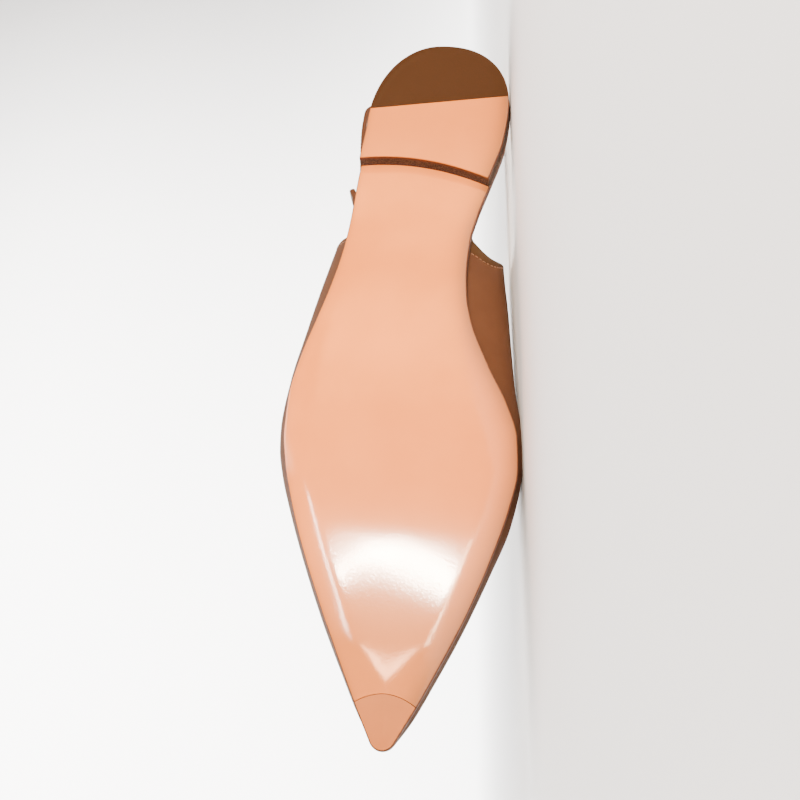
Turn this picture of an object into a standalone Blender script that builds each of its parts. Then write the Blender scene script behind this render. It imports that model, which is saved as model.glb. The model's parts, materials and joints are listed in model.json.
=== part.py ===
"""Slingback flat, left shoe, European size 39, lying on its medial (inner) side.

Every piece is shaped in the shoe's own frame, in millimetres: the heel's back at the origin on the plane
of the two treads, +X to the toe, +Y to the lateral (outer) side, +Z up from the sole. The last lines turn
the finished shoe onto its side, where it rests on the edge of its heel and the side of its upper.
"""

import math

import bmesh
import bpy
import numpy as np
from mathutils import Matrix, Vector

MM = 0.001
LATERAL, MEDIAL = 1.0, -1.0

# Sole: lengths, thicknesses and the gap that touching pieces keep.
SOLE_LENGTH = 271.7
SOLE_THICKNESS = 3.0
GAP = 0.3
HEEL_RISE = 5.0
TREAD_THICKNESS = 1.6
EDGE_LIFT = 0.9
EDGE_BAND = 7.5
SIDE_FLARE = {LATERAL: 0.0, MEDIAL: 0.5}
TOE_RADIUS = 4.2
TOE_CENTRE_Y = 0.7
HEEL_CAP = {LATERAL: (40.0, 26.6), MEDIAL: (32.0, 28.4)}
HEEL_CAP_POWER = {LATERAL: 2.05, MEDIAL: 2.25}
BREAST_SLANT = 0.2
TOE_JOINT_X = 255.6
INSERT_BLEND_X = 235.0
# The outsole's stations are drawn together at the heel up to the first x, and even from the second on.
OUTSOLE_REAR_END = 144.7
OUTSOLE_FRONT_START = 150.0

# Upper: wall, the line where it meets the sole, and how far its nose reaches past the sole.
WALL = 1.5
FEATHER_INSET = 0.6
WING_X = 91.5
WING_SHARES = (0.0, 0.15, 0.36, 1.0)
WING_LEAN = {LATERAL: (-2.8, -4.4, -4.6, -12.0), MEDIAL: (-2.4, 0.8, -3.0, -9.5)}
THROAT_X = 187.0
NOSE_START = 262.0
NOSE_TIP = 271.1
NOSE_RECESS = 1.5
NOSE_HEIGHT = 14.5
LOWER_SHARE = 0.36
# The wings' rear edges lean backwards, more and more behind this station.
WING_LEAN_START = 150.0

# The floor under the lying shoe: a point of it under the ball, and its slopes along and up the shoe. The
# side of the upper is pressed flat where it lies.
FLOOR_SPOT = (174.0, -37.75, 12.0)
FLOOR_SLOPES = (0.0617, 0.045)

# Insole: its ends, the length of its round tip, its inset from the sole's edge at the open heel, how much
# further in it runs inside the wall, and where that change starts and how long it takes.
INSOLE_THICKNESS = 2.0
INSOLE_BACK = 0.6
INSOLE_TIP = 262.0
INSOLE_ROUND = 14.0
INSOLE_INSET = 0.5
INSOLE_STEP = 2.6
INSOLE_STEP_X = 78.0
INSOLE_STEP_LENGTH = 8.0

# Straps and buckle.
STRAP_WIDTH = 10.0
SLING_THICKNESS = 2.0
QUARTER_THICKNESS = 1.6
EYE_THICKNESS = 4.4
WING_GAP = 0.75
EDGE_CUT = 0.35
WIRE_RADIUS = 0.8
PRONG_RADIUS = 0.6
FRAME_HEIGHT = 12.8
FRAME_CORNER = 1.5
EYE_WIDTH = 9.2

# Half widths of the tread at its stations, from the heel's widest place to the toe.
OUTLINE_COLUMNS = ("x", "lateral", "medial")
OUTLINE = (
    (48.0, 27.2, 27.0),
    (64.0, 28.4, 22.9),
    (80.0, 29.2, 18.4),
    (92.0, 30.1, 16.1),
    (104.0, 31.6, 15.6),
    (116.0, 33.8, 16.3),
    (128.0, 36.5, 18.7),
    (144.0, 40.2, 24.9),
    (160.0, 42.4, 32.4),
    (172.0, 42.2, 36.1),
    (184.0, 40.2, 36.7),
    (196.0, 36.8, 34.6),
    (210.0, 31.9, 30.5),
    (232.0, 22.6, 22.2),
    (256.0, 11.3, 10.5),
    (269.5, 4.4, 3.0),
)

# Height of the outsole's underside along its centre: heel seat, arch, flat tread, toe spring.
UNDERSIDE_COLUMNS = ("x", "z")
UNDERSIDE = (
    (0.0, HEEL_RISE),
    (60.0, HEEL_RISE),
    (75.0, 4.9),
    (90.0, 4.4),
    (110.0, 3.0),
    (130.0, 1.5),
    (148.0, 0.45),
    (163.0, 0.0),
    (198.0, 0.0),
    (215.0, 1.0),
    (230.0, 2.3),
    (245.0, 4.1),
    (260.0, 6.3),
    (272.0, 8.3),
)

# Sections of the last: its crown, and the fullest point of either side above the sole.
UPPER_COLUMNS = ("x", "crown_y", "crown_z", "lateral_y", "lateral_z", "medial_y", "medial_z")
UPPER = (
    (76.0, 1.0, 68.0, 34.8, 23.5, 27.6, 29.5),
    (92.0, 0.0, 67.0, 37.1, 19.5, 28.9, 27.0),
    (110.0, 0.0, 64.5, 39.9, 17.0, 31.1, 25.0),
    (130.0, -2.0, 60.5, 42.5, 14.5, 33.0, 19.5),
    (150.0, -4.0, 55.0, 44.8, 12.0, 35.1, 14.5),
    (165.0, -4.5, 50.0, 45.2, 9.2, 37.6, 12.6),
    (177.0, -4.0, 45.8, 44.2, 8.2, 38.5, 12.0),
    (187.0, -3.4, 42.0, 42.2, 8.0, 37.5, 11.6),
    (200.0, -2.5, 37.6, 37.8, 8.2, 34.9, 10.8),
    (215.0, -1.2, 33.2, 31.8, 9.0, 29.5, 10.4),
    (235.0, 0.0, 28.4, 22.9, 10.6, 21.3, 10.9),
    (250.0, 0.4, 25.2, 15.3, 12.2, 13.9, 12.5),
    (262.0, 0.7, 22.4, 8.9, 13.8, 7.5, 13.9),
    (269.5, 0.7, 20.4, 3.7, 14.4, 2.3, 14.4),
)

# How far the opening reaches down either side of the last, in degrees of arch from its crown.
OPENING_COLUMNS = ("x", "lateral", "medial")
OPENING = (
    (187.0, 0.0, 0.0),
    (185.0, 8.0, 8.0),
    (182.0, 14.5, 14.5),
    (176.0, 25.0, 25.0),
    (165.0, 39.0, 39.0),
    (150.0, 52.0, 52.0),
    (130.0, 62.0, 63.0),
    (110.0, 64.0, 66.0),
    (92.0, 61.0, 60.5),
    (76.0, 59.0, 59.5),
)

# Middle line of the sling strap behind the wing as (x, y, z), and the lean of its upper edge to the foot.
SLING = (
    (75.5, -17.9, 42.4, 1.4),
    (69.5, -14.7, 43.6, 0.8),
    (62.0, -12.9, 44.2, 0.3),
    (52.0, -13.8, 44.4, 0.0),
    (40.0, -16.8, 44.6, 0.0),
    (27.0, -19.6, 45.2, 0.2),
    (14.0, -20.6, 46.0, 0.5),
    (4.0, -17.6, 47.0, 1.0),
    (-2.0, -10.6, 47.8, 1.2),
    (-4.4, -1.0, 48.0, 1.2),
    (-4.9, 10.0, 47.0, 1.2),
    (-4.8, 21.0, 44.2, 1.0),
    (-2.4, 30.0, 41.6, 0.8),
    (3.3, 34.4, 39.1, 0.5),
    (13.5, 34.7, 38.1, 0.2),
    (27.0, 34.0, 38.0, 0.0),
    (39.0, 32.8, 38.0, 0.0),
    (48.0, 31.6, 38.0, 0.0),
    (56.2, 31.0, 38.0, 0.0),
)
# Middle line of the quarter strap from the wing, under the buckle's front bar, over its rear bar.
QUARTER = (
    (76.0, 31.2, 38.0, 0.9),
    (70.0, 30.9, 38.0, 0.3),
    (65.5, 30.9, 38.0, 0.0),
    (62.5, 31.3, 38.0, 0.0),
    (59.0, 32.8, 38.0, 0.0),
    (55.5, 34.2, 38.0, 0.0),
    (50.6, 35.2, 38.0, 0.0),
    (45.3, 36.8, 38.0, 0.0),
)
WING_STATIONS = (97.0, 92.0, 87.0, 82.0)
WING_BAND_Z = {LATERAL: 38.3, MEDIAL: 40.8}
BUCKLE_Z = 38.0
REAR_BAR = (54.0, 31.0)
FRONT_BAR = (64.0, 32.9)
PRONG_CROSSING = ((56.8, 30.0), (62.2, 34.0))

COLOURS = {
    "outsole": ("EDBC9E", 0.22, 0.0),
    "toe_insert": ("D6A88B", 0.35, 0.0),
    "heel_lift": ("67402B", 0.70, 0.0),
    "heel_tread_leather": ("E8B598", 0.30, 0.0),
    "heel_tread_rubber": ("784C2E", 0.55, 0.0),
    "upper": ("9A6A4B", 0.42, 0.0),
    "insole": ("D9B08F", 0.50, 0.0),
    "sling_strap": ("9A6A4B", 0.42, 0.0),
    "quarter_strap": ("9A6A4B", 0.42, 0.0),
    "buckle_frame": ("C9A36A", 0.25, 1.0),
    "buckle_prong": ("C9A36A", 0.25, 1.0),
}
DENSITY = {"rubber": 1150.0, "metal": 7800.0, "leather": 920.0}


def column(table, columns, name):
    """One named column of a table, as an array."""
    return np.array([row[columns.index(name)] for row in table], float)


def spline(knots, values, x):
    """Smooth curve through the knots, of cubic pieces. A knot's slope is the harmonic mean of the slopes
    on its two sides, and 0 where they differ in sign, so the curve never swings past its knots."""
    steps = np.diff(values) / np.diff(knots)
    before, after = np.r_[steps[0], steps], np.r_[steps, steps[-1]]
    same = before * after > 0
    slopes = np.where(same, 2 * before * after / np.where(same, before + after, 1.0), 0.0)
    x = np.clip(np.asarray(x, float), knots[0], knots[-1])
    i = np.clip(np.searchsorted(knots, x, side="right") - 1, 0, len(knots) - 2)
    span = knots[i + 1] - knots[i]
    t = (x - knots[i]) / span
    start = (1 + 2 * t) * (1 - t) ** 2 * values[i] + t * (1 - t) ** 2 * span * slopes[i]
    end = t * t * (3 - 2 * t) * values[i + 1] + t * t * (t - 1) * span * slopes[i + 1]
    return start + end


def smooth_step(t):
    """0 below 0, 1 above 1, and a smooth rise between."""
    t = np.clip(t, 0.0, 1.0)
    return t * t * (3 - 2 * t)


def pointed_arc(x, radius, tip_x):
    """Half width of the round end of a pointed outline: an arc of that radius that ends at tip_x."""
    reach = np.clip(np.asarray(x, float) - (tip_x - radius), 0.0, radius)
    return np.sqrt(radius**2 - reach**2)


def tread_edge(x, side):
    """Signed y of the tread's outline: a round heel, a smooth run of stations, and an arc at the toe."""
    x = np.asarray(x, float)
    length, half = HEEL_CAP[side]
    back = np.clip((length - x) / length, 0.0, 1.0)
    power = HEEL_CAP_POWER[side]
    heel = half * (1 - back**power) ** (1 / power)
    name = "lateral" if side == LATERAL else "medial"
    knots = np.concatenate(([length - 8.0, length], column(OUTLINE, OUTLINE_COLUMNS, "x")))
    widths = np.concatenate(([half, half], column(OUTLINE, OUTLINE_COLUMNS, name)))
    run = spline(knots, widths, x)
    toe = side * TOE_CENTRE_Y + pointed_arc(x, TOE_RADIUS, SOLE_LENGTH)
    half_width = np.where(x < length, heel, np.where(x < knots[-1], run, toe))
    at_tip = smooth_step((x - (SOLE_LENGTH - 0.05)) / 0.05)
    return side * half_width * (1 - at_tip) + TOE_CENTRE_Y * at_tip


def sole_edge(x, side, rise=1.0):
    """Signed y of the sole's side: the tread's outline, flared outwards by rise at heel and waist."""
    x = np.asarray(x, float)
    flare = SIDE_FLARE[side] * (1 - 0.8 * smooth_step((x - 95.0) / 50.0))
    ends = np.clip(np.minimum(x, SOLE_LENGTH - x) / 6.0, 0.0, 1.0)
    return tread_edge(x, side) + side * flare * rise * ends


def underside(x):
    """Height of the outsole's underside on its centre line."""
    knots = column(UNDERSIDE, UNDERSIDE_COLUMNS, "x")
    return spline(knots, column(UNDERSIDE, UNDERSIDE_COLUMNS, "z"), x)


def across(x, share, rise=1.0, inset=0.0):
    """y of the point that lies a share (-1 medial edge, 1 lateral edge) of the way over the sole at x."""
    lateral = sole_edge(x, LATERAL, rise) - inset
    medial = sole_edge(x, MEDIAL, rise) + inset
    return 0.5 * (lateral + medial) + 0.5 * np.maximum(lateral - medial, 0.0) * share


def edge_distance(x, y):
    """Distance of points from the tread's outline, in the plane of the sole."""
    run = SOLE_LENGTH * 0.5 * (1 - np.cos(np.linspace(0, math.pi, 140)))
    rim = [np.stack((run, tread_edge(run, side)), 1) for side in (LATERAL, MEDIAL)]
    rim = np.concatenate(rim)
    points = np.stack((x, y), -1).reshape(-1, 1, 2)
    return np.sqrt(((points - rim) ** 2).sum(2).min(1)).reshape(x.shape)


def closing(start, end, count):
    """Stations from start to end, drawn together at the start, where the form closes to a point."""
    return start + (end - start) * (1 - np.cos(np.linspace(0.0, 0.5 * math.pi, count)))


def add_object(name, bm):
    """Turns a bmesh in millimetres into a named object in metres, with its own material."""
    bmesh.ops.remove_doubles(bm, verts=bm.verts, dist=1e-4)
    bmesh.ops.dissolve_degenerate(bm, edges=bm.edges, dist=1e-5)
    bmesh.ops.recalc_face_normals(bm, faces=bm.faces)
    bmesh.ops.scale(bm, vec=(MM, MM, MM), verts=bm.verts)
    mesh = bpy.data.meshes.new(name)
    bm.to_mesh(mesh)
    bm.free()
    mesh.shade_smooth()
    mesh.set_sharp_from_angle(angle=math.radians(35.0))
    obj = bpy.data.objects.new(name, mesh)
    bpy.context.scene.collection.objects.link(obj)
    if name in COLOURS:
        mesh.materials.append(make_material(name))
    return obj


def make_material(name):
    """A Principled material in the piece's colour."""
    colour, roughness, metallic = COLOURS[name]
    parts = [int(colour[i : i + 2], 16) / 255 for i in (0, 2, 4)]
    linear = [c / 12.92 if c <= 0.04045 else ((c + 0.055) / 1.055) ** 2.4 for c in parts]
    material = bpy.data.materials.new(name)
    material.use_nodes = True
    shader = material.node_tree.nodes["Principled BSDF"]
    shader.inputs["Base Color"].default_value = (*linear, 1.0)
    shader.inputs["Roughness"].default_value = roughness
    shader.inputs["Metallic"].default_value = metallic
    return material


def add_grid(bm, grid):
    """Puts an (n, m, 3) grid of points in the bmesh and joins its neighbours with faces."""
    rows, columns, _ = grid.shape
    verts = [[bm.verts.new(grid[i, j]) for j in range(columns)] for i in range(rows)]
    for i in range(rows - 1):
        for j in range(columns - 1):
            bm.faces.new((verts[i][j], verts[i + 1][j], verts[i + 1][j + 1], verts[i][j + 1]))
    return verts


def border(verts):
    """The vertices round a grid, in order."""
    last = [row[-1] for row in verts]
    first = [row[0] for row in verts]
    return verts[0] + last[1:-1] + verts[-1][::-1] + first[1:-1][::-1]


def slab(name, top, bottom):
    """Closed solid between two grids of points, with a wall round their borders."""
    bm = bmesh.new()
    upper = border(add_grid(bm, top))
    lower = border(add_grid(bm, bottom))
    for i in range(len(upper)):
        j = (i + 1) % len(upper)
        bm.faces.new((upper[i], upper[j], lower[j], lower[i]))
    return add_object(name, bm)


def rings_solid(name, rings, closed=False):
    """Closed solid through an (n, m, 3) array of rings, capped at its ends unless it is a closed loop."""
    bm = bmesh.new()
    count, sides, _ = rings.shape
    verts = [[bm.verts.new(p) for p in ring] for ring in rings]
    for i in range(count if closed else count - 1):
        a, b = verts[i], verts[(i + 1) % count]
        for j in range(sides):
            k = (j + 1) % sides
            bm.faces.new((a[j], a[k], b[k], b[j]))
    if not closed:
        bm.faces.new(verts[0])
        bm.faces.new(verts[-1][::-1])
    return add_object(name, bm)


def toe_joint(y):
    """x of the joint between outsole and toe insert: a shallow curve, hollow towards the toe."""
    return TOE_JOINT_X + 0.034 * (y - 0.8) ** 2


def breast(y):
    """x of the heel's front face: a shallow curve that runs further forward on the medial side."""
    return 56.9 + 0.0063 * (y - 18.0) ** 2


def tread_joint(y):
    """x of the straight joint between the heel's rubber and its leather."""
    return 29.8 + 0.116 * y


def on_joint(joint, share, rise=1.0):
    """x at which a line across the sole meets a joint, a share of the way over the sole."""
    x = joint(np.zeros(share.shape))
    for _ in range(8):
        x = joint(across(x, share, rise))
    return x


COLUMN_SHARES = np.sin(np.linspace(-0.5 * math.pi, 0.5 * math.pi, 13))
HEEL_SHARES = np.sin(np.linspace(-0.5 * math.pi, 0.5 * math.pi, 9))
INSOLE_SHARES = COLUMN_SHARES[::2]


def sole_grid(x, share, lifted, rise, thickness):
    """Points over the sole at a height above its underside; the tread's edge is lifted in a soft band."""
    y = across(x, share, rise)
    z = underside(x) + thickness
    if lifted:
        in_front = smooth_step((x - 66.0) / 20.0)
        depth = np.clip(1 - edge_distance(x, y) / EDGE_BAND, 0.0, 1.0)
        z = z + EDGE_LIFT * depth**2 * in_front
    return np.stack((x, y, z), -1)


def make_outsole():
    """Leather outsole from heel to toe insert, with arch, flat forefoot and toe spring."""
    front = np.linspace(OUTSOLE_FRONT_START, TOE_JOINT_X, 21)
    x = np.concatenate((closing(0.0, OUTSOLE_REAR_END, 32), front))
    x, share = np.meshgrid(x, COLUMN_SHARES, indexing="ij")
    x = x + (on_joint(toe_joint, share) - x.max()) * smooth_step((x - INSERT_BLEND_X) / (x.max() - INSERT_BLEND_X))
    top = sole_grid(x, share, False, 1.0, SOLE_THICKNESS)
    bottom = sole_grid(x, share, True, 0.6, 0.0)
    return slab("outsole", top, bottom)


def make_toe_insert():
    """Toe piece of the sole, from the joint to the tip."""
    t, share = np.meshgrid(closing(1.0, 0.0, 10)[::-1], COLUMN_SHARES[::2], indexing="ij")
    start = on_joint(toe_joint, share) + GAP
    x = start + (SOLE_LENGTH - start) * t
    top = sole_grid(x, share, False, 1.0, SOLE_THICKNESS)
    bottom = sole_grid(x, share, True, 0.6, 0.0)
    return slab("toe_insert", top, bottom)


def heel_piece(name, start, end, low, high, slant=0.0):
    """Slice of the heel between two lines across it (None is the heel's round back) and two heights. A
    slanting front face falls back by slant from the sole to the ground."""
    t = np.linspace(0.0, 1.0, 16) if start else closing(0.0, 1.0, 16)
    t, share = np.meshgrid(t, HEEL_SHARES, indexing="ij")
    faces = []
    for z in (high, low):
        rise = 0.6 * z / HEEL_RISE
        first = on_joint(start, share, rise) + GAP if start else np.zeros(t.shape)
        last = on_joint(end, share, rise) - slant * (1 - z / HEEL_RISE)
        x = first + (last - first) * t
        faces.append(np.stack((x, across(x, share, rise), np.full(x.shape, z)), -1))
    return slab(name, faces[0], faces[1])


def make_heel():
    """Heel lift under the sole, with a leather tread in front and a rubber one behind it."""
    top = HEEL_RISE - GAP
    parting = TREAD_THICKNESS + GAP
    return [
        heel_piece("heel_lift", None, breast, parting, top, BREAST_SLANT),
        heel_piece("heel_tread_leather", tread_joint, breast, 0.0, TREAD_THICKNESS, BREAST_SLANT),
        heel_piece("heel_tread_rubber", None, tread_joint, 0.0, TREAD_THICKNESS),
    ]


def upper_column(name, x):
    """A column of the upper's table at x."""
    return spline(column(UPPER, UPPER_COLUMNS, "x"), column(UPPER, UPPER_COLUMNS, name), x)


def nose(x):
    """1 along the upper, falling to 0 at its tip as a quarter of an ellipse."""
    reach = np.clip((x - NOSE_START) / (NOSE_TIP - NOSE_START), 0.0, 1.0)
    return np.sqrt(1 - reach**2)


def full_side(x, side):
    """(y, z) of the fullest point of the upper's side at x."""
    name = "lateral" if side == LATERAL else "medial"
    run = side * upper_column(name + "_y", x)
    arc = TOE_CENTRE_Y + side * pointed_arc(x, NOSE_TIP - (SOLE_LENGTH - TOE_RADIUS), NOSE_TIP)
    y = np.where(x < UPPER[-1][0], run, arc)
    return y, upper_column(name + "_z", x)


def crown(x):
    """(y, z) of the upper's crown at x, rounded down to the nose."""
    z = upper_column("crown_z", np.minimum(x, NOSE_START))
    tip = NOSE_HEIGHT + (z - NOSE_HEIGHT) * nose(x)
    return upper_column("crown_y", x), tip


def opening_edge(x, side):
    """Arch angle of the opening's edge above the side's fullest point, in radians (a quarter turn is
    the crown). It is smooth in the root of the distance from the throat, which rounds the throat."""
    name = "lateral" if side == LATERAL else "medial"
    knots = np.sqrt(THROAT_X - column(OPENING, OPENING_COLUMNS, "x"))
    reach = np.sqrt(np.clip(THROAT_X - x, 0.0, None))
    return math.radians(90.0) - np.radians(spline(knots, column(OPENING, OPENING_COLUMNS, name), reach))


def upper_grid(x, share, side):
    """Points on the outside of one half of the upper. share runs from 0 at the sole, past the fullest
    point at LOWER_SHARE, to 1 at the opening's edge or the crown."""
    lean = spline(np.array(WING_SHARES), np.array(WING_LEAN[side]), share)
    x = x + lean * np.clip((WING_LEAN_START - x) / (WING_LEAN_START - WING_X), 0.0, 1.0) ** 1.5
    rim_x = x - NOSE_RECESS * np.clip((x - NOSE_START) / (NOSE_TIP - NOSE_START), 0.0, 1.0) ** 2
    rim_y = sole_edge(rim_x, side) - side * FEATHER_INSET
    rim_y = np.where(side * (rim_y - TOE_CENTRE_Y) > 0, rim_y, TOE_CENTRE_Y)
    rim_y = np.where(x > NOSE_TIP - 0.01, TOE_CENTRE_Y, rim_y)
    rim_z = underside(rim_x) + SOLE_THICKNESS + GAP
    full_y, full_z = full_side(x, side)
    crown_y, crown_z = crown(x)
    rise = np.sin(0.5 * math.pi * np.clip(share / LOWER_SHARE, 0.0, 1.0))
    low = np.stack(
        (
            rim_x + (x - rim_x) * rise,
            rim_y + (full_y - rim_y) * rise,
            rim_z + (full_z - rim_z) * np.clip(share / LOWER_SHARE, 0.0, 1.0),
        ),
        -1,
    )
    arch = opening_edge(x, side) * np.clip((share - LOWER_SHARE) / (1 - LOWER_SHARE), 0.0, 1.0)
    high_y = crown_y + (full_y - crown_y) * np.cos(arch)
    high_z = full_z + (crown_z - full_z) * np.sin(arch)
    high = np.stack((x, high_y, high_z), -1)
    grid = np.where((share < LOWER_SHARE)[..., None], low, high)
    along, up = grid[..., 0] - FLOOR_SPOT[0], grid[..., 2] - FLOOR_SPOT[2]
    floor = FLOOR_SPOT[1] - FLOOR_SLOPES[0] * along + FLOOR_SLOPES[1] * up
    grid[..., 1] = np.maximum(grid[..., 1], floor)
    return grid


def make_upper():
    """One hollow shell from the wings to the nose: an open surface round the last, thickened inwards."""
    rear = np.linspace(WING_X, THROAT_X, 19)
    rear = np.concatenate((rear[:-1], [184.0, 185.8, THROAT_X]))
    front = THROAT_X + (NOSE_TIP - THROAT_X) * np.sin(0.5 * math.pi * np.linspace(0, 1, 19))[1:]
    low = LOWER_SHARE * np.linspace(0.0, 1.0, 5)
    high = LOWER_SHARE + (1 - LOWER_SHARE) * np.linspace(0.0, 1.0, 11)[1:]
    x, share = np.meshgrid(np.concatenate((rear, front)), np.concatenate((low, high)), indexing="ij")
    bm = bmesh.new()
    for side in (LATERAL, MEDIAL):
        add_grid(bm, upper_grid(x, share, side))
    obj = add_object("upper", bm)
    highest = max(obj.data.polygons, key=lambda face: face.center.z)
    if highest.normal.z < 0:
        obj.data.flip_normals()
    thicken = obj.modifiers.new("wall", "SOLIDIFY")
    thicken.thickness = WALL * MM
    thicken.offset = -1.0
    thicken.use_even_offset = False
    return obj


def make_insole():
    """Insole over the whole sole: out to the edge at the open heel, inside the wall of the upper."""
    rear, tip = closing(INSOLE_BACK, 70.0, 15), closing(INSOLE_TIP, INSOLE_TIP - INSOLE_ROUND, 9)[::-1]
    x = np.concatenate((rear, np.arange(74.0, 246.0, 5.0), tip))
    x, share = np.meshgrid(x, INSOLE_SHARES, indexing="ij")
    inset = INSOLE_INSET + INSOLE_STEP * smooth_step((x - INSOLE_STEP_X) / INSOLE_STEP_LENGTH)
    round_toe = np.sqrt(np.clip((INSOLE_TIP - x) / INSOLE_ROUND, 0.0, 1.0))
    y = across(x, share * round_toe, 1.0, inset)
    z = underside(x) + SOLE_THICKNESS + GAP
    bottom = np.stack((x, y, z), -1)
    top = bottom + np.array((0.0, 0.0, INSOLE_THICKNESS))
    return slab("insole", top, bottom)


def wing_inside(x, z, side, depth):
    """y of the surface that lies a depth inside the upper's wing at x and height z."""
    full_y, full_z = full_side(x, side)
    crown_y, crown_z = crown(x)
    sine = (z - full_z) / (crown_z - full_z)
    cosine = np.sqrt(1 - sine**2)
    slope = (full_y - crown_y) * sine / ((crown_z - full_z) * cosine)
    return crown_y + (full_y - crown_y) * cosine - side * depth * np.hypot(1, slope)


def strap_line(table, side, thickness):
    """Middle line and lean of a strap: inside the wing first, then through its table; and the length run
    up to each of its rows."""
    half, z = 0.5 * STRAP_WIDTH, WING_BAND_Z[side]
    depth = WALL + WING_GAP + 0.5 * thickness
    anchored = []
    for x in WING_STATIONS:
        low = wing_inside(x, z - half, side, depth)
        high = wing_inside(x, z + half, side, depth)
        anchored.append((x, 0.5 * (low + high), z, side * (low - high)))
    rows = np.array(anchored + list(table), float)
    run = np.concatenate(([0.0], np.cumsum(np.linalg.norm(np.diff(rows[:, :3], axis=0), axis=1))))
    return rows, run


def band(name, table, side, thickness, count, round_tip=False, eye=0.0):
    """A flat strap with chamfered edges, carried along its line; its tip is rounded or swells to an eye."""
    rows, run = strap_line(table, side, thickness)
    s = np.linspace(0.0, run[-1], count)
    centre = np.stack([spline(run, rows[:, k], s) for k in range(3)], 1)
    along = np.gradient(centre, s, axis=0)
    along /= np.linalg.norm(along, axis=1)[:, None]
    out = np.cross(along, (0.0, 0.0, 1.0)) * side
    out /= np.linalg.norm(out, axis=1)[:, None]
    lean = spline(run, rows[:, 3], s)[:, None]
    up = np.array((0.0, 0.0, STRAP_WIDTH)) - out * lean
    up /= np.linalg.norm(up, axis=1)[:, None]
    out = np.cross(along, up) * side
    left = run[-1] - s
    width = np.full(count, STRAP_WIDTH)
    deep = np.full(count, thickness)
    if round_tip:
        width = width * (0.35 + 0.65 * np.sqrt(1 - np.clip(1 - left / 4.5, 0.0, 1.0) ** 2))
    if eye:
        near = np.clip((left - 0.5 * eye) / (1.2 * eye), 0.0, 1.0)
        deep = thickness + (eye - thickness) * (1 - smooth_step(near))
        tip = np.clip(1 - left / (0.5 * eye), 0.0, 1.0)
        deep = deep * np.sqrt(1 - 0.85 * tip**2)
        width = EYE_WIDTH + (STRAP_WIDTH - EYE_WIDTH) * smooth_step((left - eye) / eye)
    w, d = 0.5 * width[:, None], 0.5 * deep[:, None]
    profile = []
    for a, b in ((1, 1), (-1, 1), (-1, -1), (1, -1)):
        side_corner, face_corner = (a * w, b * (d - EDGE_CUT)), (a * (w - EDGE_CUT), b * d)
        profile += [side_corner, face_corner] if a * b > 0 else [face_corner, side_corner]
    rings = np.stack([centre + up * p + out * q for p, q in profile], 1)
    return rings_solid(name, rings)


def tube(name, path, radius, sides=8, closed=False):
    """Round wire along a path of points, in the plane that holds the path."""
    path = np.asarray(path, float)
    if closed:
        along = np.roll(path, -1, 0) - np.roll(path, 1, 0)
    else:
        along = np.gradient(path, axis=0)
    along /= np.linalg.norm(along, axis=1)[:, None]
    flat = np.linalg.svd(path - path.mean(0))[2][2]
    side = np.cross(along, flat)
    turn = np.arange(sides) * 2 * math.pi / sides
    ring = np.cos(turn)[None, :, None] * side[:, None, :] + np.sin(turn)[None, :, None] * flat
    return rings_solid(name, path[:, None, :] + radius * ring, closed)


def cutter(obj, name, tool):
    """Cuts a hidden tool out of an object."""
    tool.hide_render = True
    tool.display_type = "WIRE"
    modifier = obj.modifiers.new(name, "BOOLEAN")
    modifier.operation = "DIFFERENCE"
    modifier.object = tool


def frame_loop():
    """Rounded rectangle from the rear bar to the front bar, in the tilted plane of the buckle."""
    rear, front = np.array(REAR_BAR), np.array(FRONT_BAR)
    length = np.linalg.norm(front - rear)
    half_x, half_z = 0.5 * length, 0.5 * FRAME_HEIGHT
    points = []
    for quarter in range(4):
        mid_x = (half_x - FRAME_CORNER) * (1 if quarter in (0, 3) else -1)
        mid_z = (half_z - FRAME_CORNER) * (1 if quarter in (0, 1) else -1)
        for turn in np.radians(90 * quarter + np.array((0, 22.5, 45, 67.5, 90))):
            points.append((mid_x + FRAME_CORNER * np.cos(turn), mid_z + FRAME_CORNER * np.sin(turn)))
    points = np.array(points)
    middle, way = 0.5 * (rear + front), (front - rear) / length
    plan = middle + points[:, :1] * way
    return np.column_stack((plan, BUCKLE_Z + points[:, 1]))


def make_buckle():
    """Wire frame round the two bars, and the prong that hooks the rear bar and lies on the front one."""
    frame = tube("buckle_frame", frame_loop(), WIRE_RADIUS, 8, closed=True)
    hook = WIRE_RADIUS + GAP + PRONG_RADIUS
    z = BUCKLE_Z
    turns = np.radians((250.0, 215.0, 180.0, 145.0, 110.0, 80.0))
    path = [(REAR_BAR[0] + hook * math.cos(a), REAR_BAR[1] - hook * math.sin(a), z) for a in turns]
    path += [(*p, z) for p in PRONG_CROSSING]
    rest = FRONT_BAR[1] + hook
    path += [(FRONT_BAR[0], rest, z), (FRONT_BAR[0] + 1.6, rest, z)]
    return [frame, tube("buckle_prong", path, PRONG_RADIUS, 8)]


def block(name, low, high):
    """Box between two corners."""
    (x0, y0, z0), (x1, y1, z1) = low, high
    bottom = np.array((((x0, y0, z0), (x0, y1, z0)), ((x1, y0, z0), (x1, y1, z0))), float)
    return slab(name, bottom + np.array((0.0, 0.0, z1 - z0)), bottom)


def cut_straps(sling, quarter):
    """Bores the sling strap's eye for the rear bar, notches it for the prong, and holes the other strap."""
    (x, y), z = REAR_BAR, BUCKLE_Z
    reach = 0.5 * STRAP_WIDTH + 3.0
    bore = tube("bar_bore", [(x, y, z - reach), (x, y, z), (x, y, z + reach)], WIRE_RADIUS + 0.35, 12)
    side = PRONG_RADIUS + 0.4
    notch = block("prong_notch", (x - 2.8, y - 4.0, z - side), (x + 4.0, y + 4.0, z + side))
    start, end = (np.array((*p, z)) for p in PRONG_CROSSING)
    hole = tube("prong_hole", [start, 0.5 * (start + end), end], PRONG_RADIUS + 0.5, 12)
    cutter(sling, "bar bore", bore)
    cutter(sling, "prong notch", notch)
    cutter(quarter, "prong hole", hole)
    return [bore, notch, hole]


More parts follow.
